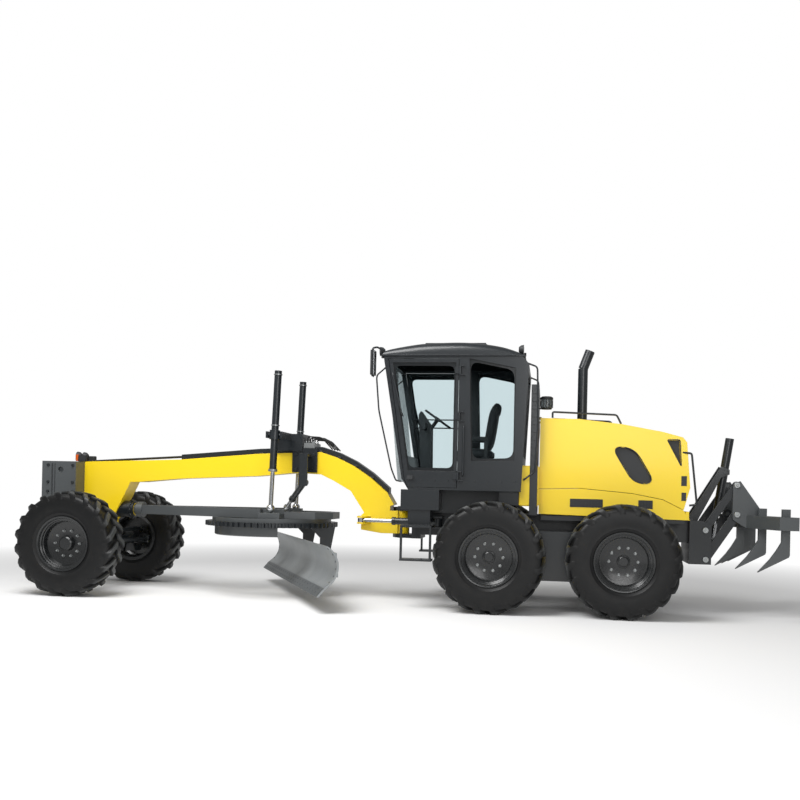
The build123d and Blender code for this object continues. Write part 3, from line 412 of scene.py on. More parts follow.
def pipe(name, points, radius_mm, material, body, closed=False, bend_mm=60):
    """A round bar or tube along points in millimetres, bent round at its corners."""
    curve = bpy.data.curves.new(name, "CURVE")
    curve.dimensions = "3D"
    curve.bevel_depth = radius_mm / 1000
    curve.bevel_resolution = 3
    curve.resolution_u = 6
    curve.use_fill_caps = True
    route = mm(*points)
    if not closed:
        eased = [route[0]]
        for before, corner, after in zip(route, route[1:], route[2:]):
            for end in (before, after):
                way = end - corner
                eased.append(corner + way.normalized() * min(bend_mm / 1000, way.length * 0.45))
                if end is before:
                    eased.append(corner)
        route = eased + [route[-1]]
    spline = curve.splines.new("POLY" if closed else "NURBS")
    spline.points.add(len(route) - 1)
    for point, place in zip(spline.points, route):
        point.co = (*place, 1)
    if closed:
        spline.use_cyclic_u = True
    else:
        spline.order_u = 3
        spline.use_endpoint_u = True
    curve.materials.append(material)
    piece = bpy.data.objects.new(name, curve)
    scene.collection.objects.link(piece)
    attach(piece, body)
    return piece


def bolted(name, build, material, body, smooth_deg=35):
    """A mesh piece that is fixed to a body."""
    piece = mesh_piece(name, build, material, smooth_deg)
    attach(piece, body)
    return piece


seal, tree, place = start("extruded seal rubber")
matt = add(tree, "ShaderNodeTexNoise", {"Scale": 1 / 0.01}, {"Vector": place})
shade = add(tree, "ShaderNodeMapRange", {"To Min": 0.6, "To Max": 0.75}, {"Value": matt.outputs[0]})
surface(tree, {"Base Color": linear("#141516")}, {"Roughness": shade.outputs[0]})

cab_half = 750
door_window = ((-50, 3050), (-844, 3050), (-844, 1700), (-268, 1700))
rear_window = ((-1010, 3100), (-1580, 2985), (-1583, 1846), (-1055, 1830))


def side_block(bm, side, x0, x1, inner, outer, z0, z1, ease):
    """A block between two distances from the middle, on the given side."""
    y0, y1 = sorted((side * inner, side * outer))
    block(bm, x0, x1, y0, y1, z0, z1, ease)


for side_name, side in both_sides:
    y = side * (cab_half - 16)
    pipe(f"door_seal_{side_name}", [(x, y, z) for x, z in door_window], 7, seal, f"door_{side_name}",
         True)
    pipe(f"side_seal_{side_name}", [(x, side * (cab_half - 20), z) for x, z in rear_window], 7, seal,
         "rear_frame",
         True)
    y = side * (cab_half + 30)
    pipe(f"door_grab_{side_name}",
         [(-190, y - 26 * side, 2380), (-175, y, 2420), (-60, y, 2880), (-52, y - 26 * side, 2920)],
         11, charcoal, f"door_{side_name}")
    pipe(f"post_grab_{side_name}",
         [(-960, y - 26 * side, 1650), (-960, y + 20 * side, 1650), (-960, y + 20 * side, 2250),
          (-960, y - 26 * side, 2250)], 11, charcoal, "rear_frame")
    pipe(f"mirror_arm_{side_name}", [(60, side * 700, 3190), (150, side * 760, 3240), (185, side * 880, 3210),
                                     (185, side * 880, 2860)], 12, charcoal, "rear_frame")

    def mirror_case(bm):
        """The mirror's moulded shell."""
        block(bm, 0.160, 0.200, side * 0.880 - 0.095, side * 0.880 + 0.095, 2.855, 3.195, 0.018)

    bolted(f"mirror_{side_name}", mirror_case, plastic, "rear_frame")

    def mirror_pane(bm):
        """The silvered glass in its face."""
        block(bm, 0.152, 0.161, side * 0.880 - 0.080, side * 0.880 + 0.080, 2.872, 3.178, 0.003)

    bolted(f"mirror_pane_{side_name}", mirror_pane, chrome, "rear_frame")

    def handle(bm):
        """Plate and lever of the door handle."""
        side_block(bm, side, -0.345, -0.255, 0.748, 0.774, 1.585, 1.645, 0.008)
        side_block(bm, side, -0.335, -0.315, 0.772, 0.786, 1.59, 1.64, 0.004)

    bolted(f"door_handle_{side_name}", handle, plastic, f"door_{side_name}")


def roof_trim(bm):
    """Drip rails along the roof's sides and a raised vent panel on top."""
    for side in (-1, 1):
        side_block(bm, side, -1.62, 0.09, 0.752, 0.770, 3.128, 3.152, 0.006)
    block(bm, -1.20, -0.40, -0.45, 0.45, 3.30, 3.342, 0.015)


bolted("roof_trim", roof_trim, charcoal, "rear_frame")

# Work lamps: round reflectors behind clear lenses in black plastic pots, at
# the front and rear of the roof and on the boom's nose.
lens, tree, place = start("clear moulded lens")
ripple = add(tree, "ShaderNodeTexVoronoi", {"Scale": 1 / 0.012}, {"Vector": place})
bump = add(tree, "ShaderNodeBump", {"Strength": 0.4, "Distance": 0.002}, {"Height": ripple.outputs[0]})
surface(tree, {"Base Color": linear("#D9DEE0"), "Metallic": 0.6, "Roughness": 0.15},
        {"Normal": bump.outputs[0]})


def ring_about_x(bm, x, y, z, r):
    """Twenty-four points round an axis along X, or one point for no radius."""
    return [bm.verts.new((x, y + r * math.cos(math.pi * k / 12), z + r * math.sin(math.pi * k / 12)))
            for k in range(24 if r else 1)]


def lamp_pot(bm, x, y, z, ahead):
    """A round lamp's pot, turned about X, and the bracket under it."""
    profile = ((-0.055, 0.0), (-0.055, 0.03), (-0.03, 0.052), (0.0, 0.058), (0.008, 0.058), (0.008, 0.05))
    rings = [ring_about_x(bm, x + ahead * out, y, z, r) for out, r in profile]
    for ring, after in zip(rings, rings[1:]):
        for k in range(24):
            corners = []
            for vert in (ring[k % len(ring)], ring[(k + 1) % len(ring)], after[(k + 1) % 24], after[k]):
                if vert not in corners:
                    corners.append(vert)
            bm.faces.new(corners)
    block(bm, x - 0.04, x - 0.01, y - 0.015, y + 0.015, z - 0.085, z - 0.04, 0.003)


def lamp_lens(bm, x, y, z, ahead):
    """The domed lens in a lamp's mouth."""
    rim = ring_about_x(bm, x + ahead * 0.004, y, z, 0.051)
    mid = ring_about_x(bm, x + ahead * 0.012, y, z, 0.03)
    for k in range(24):
        bm.faces.new((rim[k], rim[(k + 1) % 24], mid[(k + 1) % 24], mid[k]))
    bm.faces.new(mid)


lamps = [(0.13, y, 3.205, 1, "rear_frame") for y in (-0.62, -0.3, 0.3, 0.62)]
lamps += [(-1.66, y, 3.23, -1, "rear_frame") for y in (-0.6, 0.6)]
lamps += [(4.49, y, 1.83, 1, "front_frame") for y in (-0.09, 0.09)]
for k, (x, y, z, ahead, body) in enumerate(lamps):
    bolted(f"lamp_pot_{k}", lambda bm: lamp_pot(bm, x, y, z, ahead), plastic, body)
    bolted(f"lamp_lens_{k}", lambda bm: lamp_lens(bm, x, y, z, ahead), lens, body)


# Hood openings: perforated black steel behind the side window and the rear
# corner slot, its holes painted near black as painted shade of the space behind,
# and black plastic grilles over the low vents in the side panels, with a solid
# black plate behind their bars as painted shade.
def sheet_cut(bm, points, y0, y1):
    """A flat plate from its outline in x and z (millimetres), between two y positions."""
    near = [bm.verts.new((x / 1000, y0, z / 1000)) for x, z in points]
    far = [bm.verts.new((x / 1000, y1, z / 1000)) for x, z in points]
    bm.faces.new(near)
    bm.faces.new(far)
    for k in range(len(points)):
        n = (k + 1) % len(points)
        bm.faces.new((near[k], near[n], far[n], far[k]))


def rounded(points, radius, steps=5):
    """An outline with its corners rounded off, in millimetres."""
    out = []
    count = len(points)
    for k in range(count):
        corner = Vector(points[k])
        back = (Vector(points[k - 1]) - corner).normalized()
        front = (Vector(points[(k + 1) % count]) - corner).normalized()
        start_at, end_at = corner + back * radius, corner + front * radius
        for i in range(steps + 1):
            t = i / steps
            out.append(tuple(start_at * (1 - t) ** 2 + corner * 2 * t * (1 - t) + end_at * t ** 2))
    return out


mesh_steel, tree, place = start("perforated black steel")
# The holes are painted near black: painted shade of the dark space behind the sheet.
holes = add(tree, "ShaderNodeTexVoronoi", {"Scale": 1 / 0.009, "Randomness": 0.0}, {"Vector": place})
pierced = add(tree, "ShaderNodeMapRange", {"From Min": 0.25, "From Max": 0.35},
              {"Value": holes.outputs["Distance"]})
tint = blend(tree, "#050505", "#26282A", pierced.outputs[0])
bump = add(tree, "ShaderNodeBump", {"Strength": 0.6, "Distance": 0.001}, {"Height": pierced.outputs[0]})
surface(tree, {"Roughness": 0.5}, {"Base Color": tint, "Normal": bump.outputs[0]})

window = [(-2752, 2052), (-3032, 2032), (-3288, 1598), (-3031, 1592)]
corner_slot = [(-3415, 2137), (-3566, 2139), (-3587, 1815)]
for side_name, side in both_sides:
    def backing(bm):
        """Plates behind the window and the corner slot."""
        sheet_cut(bm, window, side * 0.556, side * 0.562)
        sheet_cut(bm, corner_slot, side * 0.556, side * 0.562)

    bolted(f"hood_mesh_{side_name}", backing, mesh_steel, "hood")
    rims = (("window", rounded(window, 150, 6)), ("slot", rounded(corner_slot, 25)))
    for part_name, outline in rims:
        pipe(f"{part_name}_rim_{side_name}", [(x, side * 600, z) for x, z in outline], 6, plastic, "hood",
             True)

    def low_vents(bm):
        """Two framed grilles with upright bars, on a solid black plate that is painted shade of the vents'
        inside.
        """
        for x0, x1 in ((-2667, -2271), (-3261, -3090)):
            # The solid black plate fills each vent: painted shade behind the bars.
            side_block(bm, side, x0 / 1000, x1 / 1000, 0.5995, 0.604, 1.293, 1.396, 0.002)
            count = max(3, round((x1 - x0) / 36))
            for k in range(count):
                x = (x0 + (x1 - x0) * (k + 0.5) / count) / 1000
                side_block(bm, side, x - 0.006, x + 0.006, 0.604, 0.612, 1.300, 1.389, 0.002)

    bolted(f"low_vents_{side_name}", low_vents, plastic, "rear_frame")

    # Black plates on the hood's rear edge: painted shade where the slots are.
    def hood_slot_shade(bm):
        """Two black plates at the hood's rear edge, painted shade standing in for slots."""
        side_block(bm, side, -3.655, -3.590, 0.5995, 0.603, 1.580, 1.700, 0.001)
        side_block(bm, side, -3.650, -3.595, 0.5995, 0.603, 1.400, 1.500, 0.001)

    bolted(f"hood_slot_shade_{side_name}", hood_slot_shade, plastic, "hood")
    pipe(f"hood_rail_{side_name}",
         [(-2038, side * 540, 2392), (-2038, side * 540, 2466), (-2815, side * 540, 2436),
          (-2870, side * 540, 2325)], 12, charcoal, "hood")
    pipe(f"rear_grab_{side_name}",
         [(-3600, side * 590, 1985), (-3704, side * 610, 1975), (-3775, side * 610, 1360),
          (-3690, side * 590, 1345)], 13, charcoal, "hood")


# Air cleaner cap and cowl: a ribbed clear bowl under a black lid draws air
# high behind the cab, and louvres are pressed into the cowl's steel sides.
bowl, tree, place = start("smoked clear plastic")
cloud = add(tree, "ShaderNodeTexNoise", {"Scale": 1 / 0.06}, {"Vector": place})
shade = add(tree, "ShaderNodeMapRange", {"To Min": 0.12, "To Max": 0.3}, {"Value": cloud.outputs[0]})
surface(tree, {"Base Color": linear("#8F979A"), "Transmission Weight": 0.6, "IOR": 1.45},
        {"Roughness": shade.outputs[0]})


def lathe(bm, x, y, profile, turns=32):
    """A profile of (radius, height) in millimetres, spun about an upright axis."""
    rings = [[bm.verts.new((x / 1000 + r / 1000 * math.cos(2 * math.pi * k / turns),
                            y / 1000 + r / 1000 * math.sin(2 * math.pi * k / turns),
                            z / 1000)) for k in range(turns)]
             for r, z in profile]
    for ring, after in zip(rings, rings[1:]):
        for k in range(turns):
            bm.faces.new((ring[k], ring[(k + 1) % turns], after[(k + 1) % turns], after[k]))
    bm.faces.new(rings[0])
    bm.faces.new(rings[-1])


bolted("air_bowl", lambda bm: lathe(bm, -1960, 330, [(60, 2530), (72, 2536), (76, 2604), (70, 2640)]),
       bowl, "rear_frame")


def air_lid(bm):
    """Lid, foot, bracket to the cowl and the ribs round the bowl."""
    lathe(bm, -1960, 330, [(44, 2514), (66, 2516), (66, 2532)])
    block(bm, -1.940, -1.868, 0.300, 0.360, 2.516, 2.530, 0.003)
    lathe(bm, -1960, 330, [(72, 2636), (82, 2642), (82, 2662), (60, 2676), (20, 2680)])
    for k in range(12):
        a = math.pi * k / 6
        x, y = -1.960 + 0.078 * math.cos(a), 0.330 + 0.078 * math.sin(a)
        block(bm, x - 0.004, x + 0.004, y - 0.004, y + 0.004, 2.531, 2.640, 0.001)


bolted("air_lid", air_lid, plastic, "rear_frame")


def louvres(bm):
    """A row of pressed louvres on each side of the cowl."""
    for side in (-1, 1):
        for k in range(11):
            z = 1.72 + 0.095 * k
            side_block(bm, side, -1.862, -1.786, 0.688, 0.701, z, z + 0.055, 0.005)


bolted("cowl_louvres", louvres, charcoal, "rear_frame")


# Boom furniture: a folded steel channel that carries the hoses along the top of
# the boom, painted black and bolted down, and amber marker lamps on the nose.
def channel(bm):
    """The hose channel, following the arch of the boom."""
    ridge = [(2972, 1838), (1846, 1936), (998, 1974), (757, 1898), (530, 1790), (303, 1640), (76, 1446)]
    top = [(x, z + 34) for x, z in ridge]
    low = [(x, z - 40) for x, z in reversed(ridge)]
    sheet_cut(bm, top + low, -0.085, 0.085)
    for x, z in ridge[1:-1]:
        block(bm, x / 1000 - 0.03, x / 1000 + 0.03, -0.11, 0.11, z / 1000 - 0.045, z / 1000 - 0.02, 0.003)


bolted("hose_channel", channel, charcoal, "front_frame")
for y in (-55, -20, 15, 50):
    pipe(f"boom_hose_{y}", [(4440, y, 1752), (3900, y, 1786), (2950, y, 1846)], 13, seal, "front_frame")

amber, tree, place = start("moulded amber lens")
facet = add(tree, "ShaderNodeTexVoronoi", {"Scale": 1 / 0.008}, {"Vector": place})
bump = add(tree, "ShaderNodeBump", {"Strength": 0.4, "Distance": 0.001}, {"Height": facet.outputs[0]})
surface(tree, {"Base Color": linear("#D9601A"), "Roughness": 0.2}, {"Normal": bump.outputs[0]})


def marker_pair(bm, x0, x1, half, z0, z1, ease):
    """Two blocks side by side on the boom's nose."""
    for y in (-0.135, 0.135):
        block(bm, x0, x1, y - half, y + half, z0, z1, ease)


bolted("marker_lamps", lambda bm: marker_pair(bm, 4.452, 4.500, 0.02, 1.755, 1.845, 0.008), amber,
       "front_frame")
bolted("marker_boxes", lambda bm: marker_pair(bm, 4.340, 4.455, 0.025, 1.748, 1.835, 0.006), plastic,
       "front_frame")


def bolt_heads(bm, xs, y, zs):
    """Hexagon heads in rows and columns on both side faces."""
    for side in (-1, 1):
        for x in xs:
            for z in zs:
                hexagon(bm, x, side * y, z, 0.036, 0.018, side)


bolted("nose_bolts", lambda bm: bolt_heads(bm, (4.4, 4.76), 0.4, (1.2, 1.33, 1.46, 1.69)), charcoal,
       "front_frame")
bolted("saddle_bolts", lambda bm: bolt_heads(bm, (1.08, 1.16, 1.24, 1.32), 0.182, (1.7, 1.9)), charcoal,
       "front_frame")


# Black plates on the push block's cheeks: painted shade where the slots are.
def block_slot_shade(bm):
    """Black plates in the push block's cheeks, close behind the front plate: painted shade standing in for
    tall slots.
    """
    for side in (-1, 1):
        side_block(bm, side, 4.690, 4.712, 0.3995, 0.402, 1.20, 1.715, 0.001)
        side_block(bm, side, 4.655, 4.668, 0.3995, 0.402, 1.20, 1.715, 0.001)


bolted("push_block_slots", block_slot_shade, plastic, "front_frame")


# Cab glass borders: a black ceramic band is fired onto each side pane, and
# leaves a clear opening with rounded corners.
frit, tree, place = start("fired black ceramic band")
fine = add(tree, "ShaderNodeTexVoronoi", {"Scale": 1 / 0.003}, {"Vector": place})
shade = add(tree, "ShaderNodeMapRange", {"To Min": 0.22, "To Max": 0.3}, {"Value": fine.outputs["Distance"]})
surface(tree, {"Base Color": linear("#101518")}, {"Roughness": shade.outputs[0]})


def band(bm, points, y, shrink, radius):
    """The flat border between an outline and its smaller, rounded copy."""
    steps = 6
    middle = sum((Vector(p) for p in points), Vector((0, 0))) / len(points)
    inner = [middle + (Vector(p) - middle) * shrink for p in points]
    curve = rounded(inner, radius, steps)
    outer = [points[k // (steps + 1)] for k in range(len(curve))]
    far = [bm.verts.new((p[0] / 1000, y, p[1] / 1000)) for p in outer]
    near = [bm.verts.new((p[0] / 1000, y, p[1] / 1000)) for p in curve]
    for k in range(len(curve)):
        n = (k + 1) % len(curve)
        corners = [far[k], near[k], near[n]]
        if far[n].co != far[k].co:
            corners.append(far[n])
        bm.faces.new(corners)


for side_name, side in both_sides:
    bolted(f"door_band_{side_name}",
           lambda bm: band(bm, door_window, side * (cab_half - 15) / 1000, 0.94, 75), frit,
           f"door_{side_name}")
    bolted(f"side_band_{side_name}",
           lambda bm: band(bm, rear_window, side * (cab_half - 19) / 1000, 0.95, 110), frit,
           "rear_frame")


# Cab roof: one dished shell of moulded composite, sprayed charcoal, drawn
# down over the posts all round.
def roof_shell(bm):
    """The shell as bands from front to rear, eased down toward both sides."""
    ridge = [Vector(p) for p in ((90, 3150), (40, 3222), (-342, 3300), (-640, 3322), (-939, 3325),
                                 (-1180, 3304), (-1411, 3262), (-1600, 3196), (-1680, 3148))]
    line = []
    for k in range(len(ridge) - 1):
        before, start_at, end_at, after = (ridge[max(k - 1, 0)], ridge[k], ridge[k + 1],
                                           ridge[min(k + 2, len(ridge) - 1)])
        for i in range(6):
            t = i / 6
            line.append((start_at * 2 + (end_at - before) * t
                         + (before * 2 - start_at * 5 + end_at * 4 - after) * t ** 2
                         + (start_at * 3 - before - end_at * 3 + after) * t ** 3) / 2)
    line.append(ridge[-1])
    widths = [(760, 0.0), (760, 0.28), (757, 0.45), (742, 0.64), (712, 0.80), (665, 0.91), (600, 0.965),
              (400, 0.99)]
    spread = [(-w, f) for w, f in widths] + [(0, 1.0)] + [(w, f) for w, f in reversed(widths)]
    rows = []
    for point in line:
        rows.append([bm.verts.new((point.x / 1000, w / 1000, (3126 + (point.y - 3126) * f) / 1000)) for w,
                     f in spread])
    for row, after in zip(rows, rows[1:]):
        for k in range(len(row) - 1):
            bm.faces.new((row[k], row[k + 1], after[k + 1], after[k]))
        bm.faces.new((row[0], after[0], after[-1], row[-1]))
    bm.faces.new(rows[0])
    bm.faces.new(rows[-1])
    block(bm, -0.990, -0.875, -0.010, 0.010, 3.30, 3.374, 0.004)
    block(bm, -1.695, 0.105, -0.758, 0.758, 3.126, 3.150, 0.008)


shell = mesh_piece("roof_shell", roof_shell, charcoal, 40)
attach(shell, "rear_frame")
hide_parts("cab_roof")


# Circle skirt, cutting edge and bolts: a rolled ring guard is welded under the
# front of the circle, and hardened edges are held to the blade by plough bolts.
def turned(bm, base, axis, profile, turns=20, hollow=False):
    """A profile of (radius, distance) in millimetres, turned about an axis."""
    along = Vector(axis).normalized()
    spin = along.to_track_quat("Z", "Y").to_matrix()
    rings = []
    for r, out in profile:
        rings.append([bm.verts.new((Vector(base) + along * out
                                    + spin @ Vector((r * math.cos(2 * math.pi * k / turns),
                                                     r * math.sin(2 * math.pi * k / turns), 0))) / 1000)
                      for k in range(turns)])
    for ring, after in zip(rings, rings[1:] + (rings[:1] if hollow else [])):
        for k in range(turns):
            bm.faces.new((ring[k], ring[(k + 1) % turns], after[(k + 1) % turns], after[k]))
    if not hollow:
        bm.faces.new(rings[0])
        bm.faces.new(rings[-1])


circle_x, blade_angle, blade_offset = 1692, 26, 150.5
foot_x, foot_z = -180, 200
arc_x, arc_z, arc_r = -147.5, 549.7, 267.7
blade_turn = (Matrix.Translation((circle_x / 1000, 0, 0))
              @ Matrix.Rotation(math.radians(blade_angle), 4, "Z"))


def skirt(bm):
    """The guard, an arc over the front half, turned with the blade."""
    steps = 40
    rows = []
    for k in range(steps + 1):
        a = math.radians(-86 + 172 * k / steps)
        rows.append([bm.verts.new((r * math.cos(a), r * math.sin(a), z)) for r, z in
                     ((0.748, 0.934), (0.748, 0.822), (0.756, 0.812), (0.766, 0.822), (0.766, 0.934))])
    for row, after in zip(rows, rows[1:]):
        for k in range(5):
            bm.faces.new((row[k], row[(k + 1) % 5], after[(k + 1) % 5], after[k]))
    bm.faces.new(rows[0])
    bm.faces.new(rows[-1])
    bm.transform(blade_turn)


bolted("circle_skirt", skirt, graphite, "circle")

edge_steel, tree, place = start("hardened cutting edge steel")
worn = add(tree, "ShaderNodeTexNoise", {"Scale": 1 / 0.05, "Detail": 6.0}, {"Vector": place})
tint = blend(tree, "#55595B", "#7D8183", worn.outputs[0])
shade = add(tree, "ShaderNodeMapRange", {"To Min": 0.3, "To Max": 0.5}, {"Value": worn.outputs[0]})
surface(tree, {"Metallic": 0.5}, {"Base Color": tint, "Roughness": shade.outputs[0]})
slope = Vector((-105, 0, 120)).normalized()
outward = Vector((120, 0, 105)).normalized()


def cutting_edge(bm):
    """Two edge plates side by side along the foot of the blade."""
    for low, high in ((-1966, -4), (4, 1966)):
        corners = []
        for y in (low, high):
            foot = Vector((foot_x, y + blade_offset, foot_z)) + slope * 4
            head = foot + slope * 130
            corners.append([bm.verts.new(p / 1000)
                            for p in (foot, foot + outward * 7, head + outward * 7, head)])
        for k in range(4):
            bm.faces.new((corners[0][k], corners[0][(k + 1) % 4], corners[1][(k + 1) % 4], corners[1][k]))
        bm.faces.new(corners[0])
        bm.faces.new(corners[1])
    bm.transform(blade_turn)


def blade_bolts(bm):
    """Bolt heads along the foot and down both ends of the blade's face."""
    for k in range(26):
        y = -1940 + 3880 * k / 25 + blade_offset
        for up in (45, 100):
            turned(bm, Vector((foot_x, y, foot_z)) + slope * up + outward * 6, outward,
                   [(13, 0), (13, 3), (9, 6)], 8)
    for y in (-1925, 1925):
        for k in range(6):
            a = math.radians(239.1 + (118.4 - 239.1) * (k + 0.8) / 6.4)
            out = Vector((-math.cos(a), 0, -math.sin(a)))
            centre = Vector((arc_x + arc_r * math.cos(a), y + blade_offset, arc_z + arc_r * math.sin(a)))
            turned(bm, centre, out, [(13, -8), (13, 5), (9, 8)], 8)
    bm.transform(blade_turn)


bolted("cutting_edge", cutting_edge, edge_steel, "moldboard")
bolted("blade_bolts", blade_bolts, edge_steel, "moldboard")


def ball_sleeve(bm):
    """Bolted bearing sleeve over the boss that holds the drawbar's ball."""
    turned(bm, (3662, 0, 1104), (1, 0, 0), [(90, 0), (116, 0), (116, 260), (104, 260)], 40, True)
    turned(bm, (3700, 0, 1104), (1, 0, 0), [(112, 0), (134, 0), (134, 26), (112, 26)], 40, True)
    for k in range(10):
        a = math.pi * k / 5
        turned(bm, (3696, 125 * math.cos(a), 1104 + 125 * math.sin(a)), (-1, 0, 0),
               [(11, -10), (11, 9), (8, 12)], 6)


bolted("ball_sleeve", ball_sleeve, charcoal, "front_frame")


# Cab surroundings: a yellow apron and a dark cover below the cab, tubular rails
# outside and inside the glass, and yellow pieces in the hood window's corners.
for side_name, side in both_sides:
    def corner_fill(bm):
        """Closes the corners outside the window's rounded rim."""
        band(bm, window, side * 0.5992, 1.0, 150)

    bolted(f"window_corners_{side_name}", corner_fill, yellow, "hood")

    def apron(bm):
        """Yellow panel behind the cab's foot."""
        side_block(bm, side, -1.890, -1.650, 0.600, 0.680, 1.290, 1.790, 0.012)

    bolted(f"apron_{side_name}", apron, yellow, "rear_frame")

    def base_cover(bm):
        """Folded cover under the cab floor, with its row of bolts."""
        side_block(bm, side, -1.645, -1.400, 0.600, 0.675, 1.290, 1.552, 0.008)
        for k in range(9):
            hexagon(bm, -1.60 + 0.165 * k, side * 0.7495, 1.585, 0.018, 0.008, side)

    bolted(f"base_cover_{side_name}", base_cover, charcoal, "rear_frame")
    pipe(f"front_rail_{side_name}", [(50, side * 700, 2990), (165, side * 700, 2890), (125, side * 700, 2450),
                                     (-50, side * 700, 1720), (-110, side * 700, 1575),
                                     (-180, side * 690, 1562)],
         10, charcoal, "rear_frame", bend_mm=110)
    pipe(f"rear_rail_{side_name}",
         [(-1690, side * 700, 3060), (-1842, side * 724, 3000), (-1866, side * 724, 2300),
          (-1840, side * 724, 1720), (-1700, side * 700, 1610)],
         11, charcoal, "rear_frame", bend_mm=90)

for z in (2330, 2445):
    pipe(f"inner_rail_{z}", [(-90, -700, z), (-830, -700, z)], 9, charcoal, "rear_frame")


# Pins of the ripper and the cylinders: ground steel with plated retaining caps,
# each held by one bolt in its middle.
bright, tree, place = start("zinc plated steel")
patch = add(tree, "ShaderNodeTexVoronoi", {"Scale": 1 / 0.006}, {"Vector": place})
shade = add(tree, "ShaderNodeMapRange", {"To Min": 0.25, "To Max": 0.4}, {"Value": patch.outputs["Distance"]})
surface(tree, {"Base Color": linear("#A3A6A6"), "Metallic": 0.85}, {"Roughness": shade.outputs[0]})


def pin_caps(name, body, out, places, radius):
    """Caps on both sides at a distance from the middle, at places in x and z."""
    def build(bm):
        """Each cap, with the bolt in its middle."""
        for x, z in places:
            for side in (1, -1):
                turned(bm, (x, side * (out - 1), z), (0, side, 0),
                       [(radius, 0), (radius, 7), (radius - 4, 11)], 24)
                turned(bm, (x, side * (out + 9), z), (0, side, 0),
                       [(radius * 0.4, 0), (radius * 0.4, 9), (radius * 0.3, 12)], 6)

    bolted(name, build, bright, body)


pin_caps("hitch_pin_caps", "rear_frame", 362, [(-3932, 683), (-3924, 1044)], 36)
pin_caps("carriage_pin_caps", "ripper_frame", 350, [(-4295, 1245), (-4287, 1606)], 36)

# Wheel nuts: ten zinc plated nuts on the studs of each hub, in one ring, drawn
# up against the disc.
nut_ring = 167.5
for side_name, side in both_sides:
    for row, sizes in (("front", front_wheel), ("middle", rear_wheel), ("rear", rear_wheel)):
        low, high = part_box(f"rim_{row}_{side_name}")
        hub = (low + high) / 2

        def nuts(bm):
            """The ten nuts, each with the end of its stud."""
            for k in range(10):
                a = math.pi * k / 5
                x, z = hub.x * 1000 + nut_ring * math.cos(a), hub.z * 1000 + nut_ring * math.sin(a)
                y = hub.y * 1000 + side * (sizes["disc"] + 13)
                turned(bm, (x, y, z), (0, side, 0), [(20, 0), (20, 5), (17, 6), (17, 20), (14, 24)], 6)
                turned(bm, (x, y, z), (0, side, 0), [(9, 0), (9, 34), (7, 36)], 10)

        bolted(f"nuts_{row}_{side_name}", nuts, bright, f"wheel_{row}_{side_name}")


# Hydraulics on the saddle: valve blocks of plated steel and short rubber lines
# that run between fixed fittings beside the lift cylinders.
def valves(bm):
    """Two valve blocks with their ports, on top of the saddle."""
    for side in (-1, 1):
        side_block(bm, side, 1.08, 1.232, 0.05, 0.17, 1.985, 2.055, 0.006)
        for k in range(4):
            turned(bm, (1105 + 34 * k, side * 110, 2053), (0, 0, 1), [(11, 0), (11, 22), (8, 26)], 6)


bolted("saddle_valves", valves, bright, "front_frame")
for side_name, side in both_sides:
    for k in range(3):
        x, y = 1110 + 38 * k, side * (110 + 8 * k)
        pipe(f"saddle_line_{side_name}_{k}", [(x, y, 2045), (x, y, 2105 + 18 * k),
                                              (x - 190, y, 2095 + 18 * k), (x - 330, y * 0.55, 1962 + 6 * k)],
             9, seal, "front_frame", bend_mm=90)

# Lift cylinder glands: a plated collar screwed onto the foot of each barrel and
# two clamp bands above its trunnion.
eye_x, eye_y, eye_z = 1532, 620, 1177
gimbal_x, gimbal_z = 1498, 2130
for side_name, side in both_sides:
    low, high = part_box(f"lift_barrel_{side_name}")
    lean = (eye_x - gimbal_x) / (gimbal_z - eye_z)

    def glands(bm):
        """Collar at the foot, and two clamp bands along the barrel."""
        foot = low.z * 1000
        for z, bore, r, tall in ((foot + 2, 46, 60, 34), (2245, 44, 56, 16), (2900, 44, 56, 16)):
            x = gimbal_x + lean * (gimbal_z - z)
            rim = [(bore, 0), (r, 2), (r, tall - 2), (bore, tall)]
            turned(bm, (x, side * eye_y, z), (-lean, 0, 1), rim, 32, True)

    bolted(f"lift_glands_{side_name}", glands, bright, f"lift_barrel_{side_name}")


# Floor and light: a pale matt floor that fades into a white surround, one large
# soft light overhead towards the front and a weaker one on the near side.
def soft_light(name, place, aim, size, watts):
    """A square lamp that looks from one point towards another."""
    lamp = bpy.data.lights.new(name, "AREA")
    lamp.size = size
    lamp.energy = watts
    holder = bpy.data.objects.new(name, lamp)
    holder.location = place
    holder.rotation_euler = (Vector(aim) - Vector(place)).to_track_quat("-Z", "Y").to_euler()
    scene.collection.objects.link(holder)


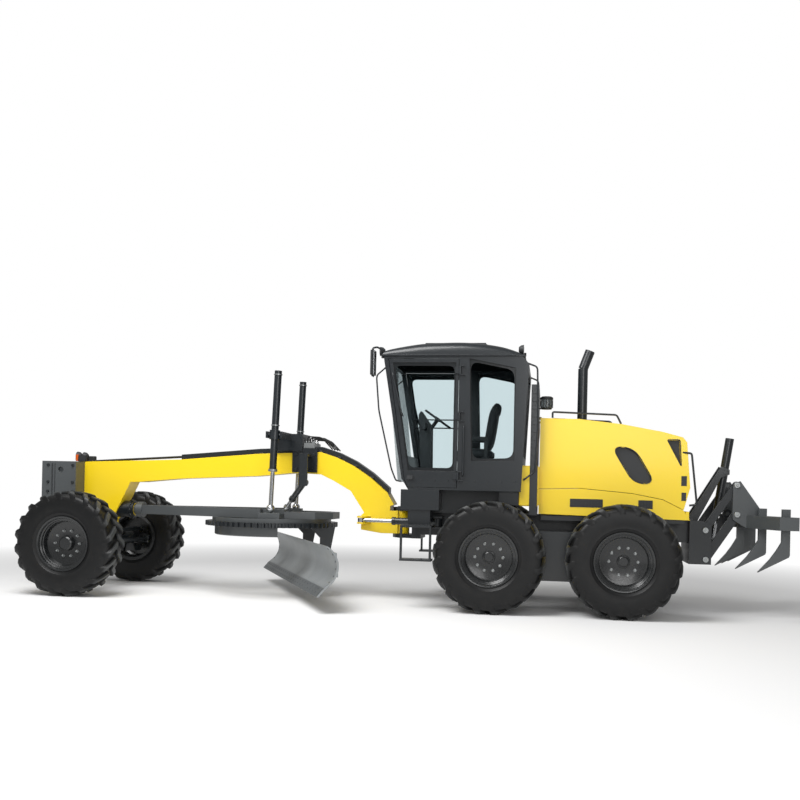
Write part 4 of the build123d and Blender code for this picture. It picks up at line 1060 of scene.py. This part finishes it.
bpy.ops.mesh.primitive_plane_add(size=400, location=(0, 0, 0))
floor = bpy.context.object
ground, tree, place = start("pale studio floor")
distance = add(tree, "ShaderNodeVectorMath", {"operation": "LENGTH"}, {0: place}).outputs["Value"]
fade = add(tree, "ShaderNodeMapRange", {"From Min": 6.5, "From Max": 12.0}, {"Value": distance}).outputs[0]
ray = add(tree, "ShaderNodeLightPath").outputs["Is Camera Ray"]
share = add(tree, "ShaderNodeMath", {"operation": "MULTIPLY"}, {0: fade, 1: ray}).outputs[0]
matt = add(tree, "ShaderNodeBsdfDiffuse", {"Color": (0.9, 0.9, 0.9, 1)})
white = add(tree, "ShaderNodeEmission", {"Strength": 1.0})
skin = add(tree, "ShaderNodeMixShader", links={0: share, 1: matt.outputs[0], 2: white.outputs[0]})
add(tree, "ShaderNodeOutputMaterial", links={"Surface": skin.outputs[0]})
floor.data.materials.append(ground)

world = bpy.data.worlds.new("white surround")
scene.world = world
world.use_nodes = True
tree = world.node_tree
tree.nodes.clear()
ray = add(tree, "ShaderNodeLightPath").outputs["Is Camera Ray"]
dim = add(tree, "ShaderNodeBackground", {"Strength": 0.36})
white = add(tree, "ShaderNodeBackground", {"Color": (1, 1, 1, 1), "Strength": 1.0})
dim.inputs["Color"].default_value = (1, 1, 1, 1)
mix = add(tree, "ShaderNodeMixShader", links={0: ray, 1: dim.outputs[0], 2: white.outputs[0]})
add(tree, "ShaderNodeOutputWorld", links={"Surface": mix.outputs[0]})
soft_light("overhead light", (3.0, 5.0, 9.0), (0.0, 0.0, 1.0), 6.0, 1000)
soft_light("near side light", (-4.0, 12.0, 4.5), (-0.5, 0.0, 1.5), 5.0, 300)

# Camera: stands a little higher than the tyres, 12 m to the left of the middle
# plane and 2 m behind the middle of the length.
yaw, pitch, roll = (math.radians(a) for a in (8.945, 0.041, 1.297))
ahead = Vector((math.sin(yaw) * math.cos(pitch), -math.cos(yaw) * math.cos(pitch), math.sin(pitch)))
right = Vector((-math.cos(yaw), -math.sin(yaw), 0.0))
up = right.cross(ahead)
across = right * math.cos(roll) + up * math.sin(roll)
upward = up * math.cos(roll) - right * math.sin(roll)
camera = bpy.data.objects.new("camera", bpy.data.cameras.new("camera"))
camera.data.lens = 41.89
camera.data.sensor_width = 36
camera.data.shift_y = 0.1112
camera.rotation_mode = "QUATERNION"
camera.rotation_quaternion = Matrix((across, upward, -ahead)).transposed().to_quaternion()
camera.location = (-1.984, 12.2416, 1.459)
scene.collection.objects.link(camera)
scene.camera = camera
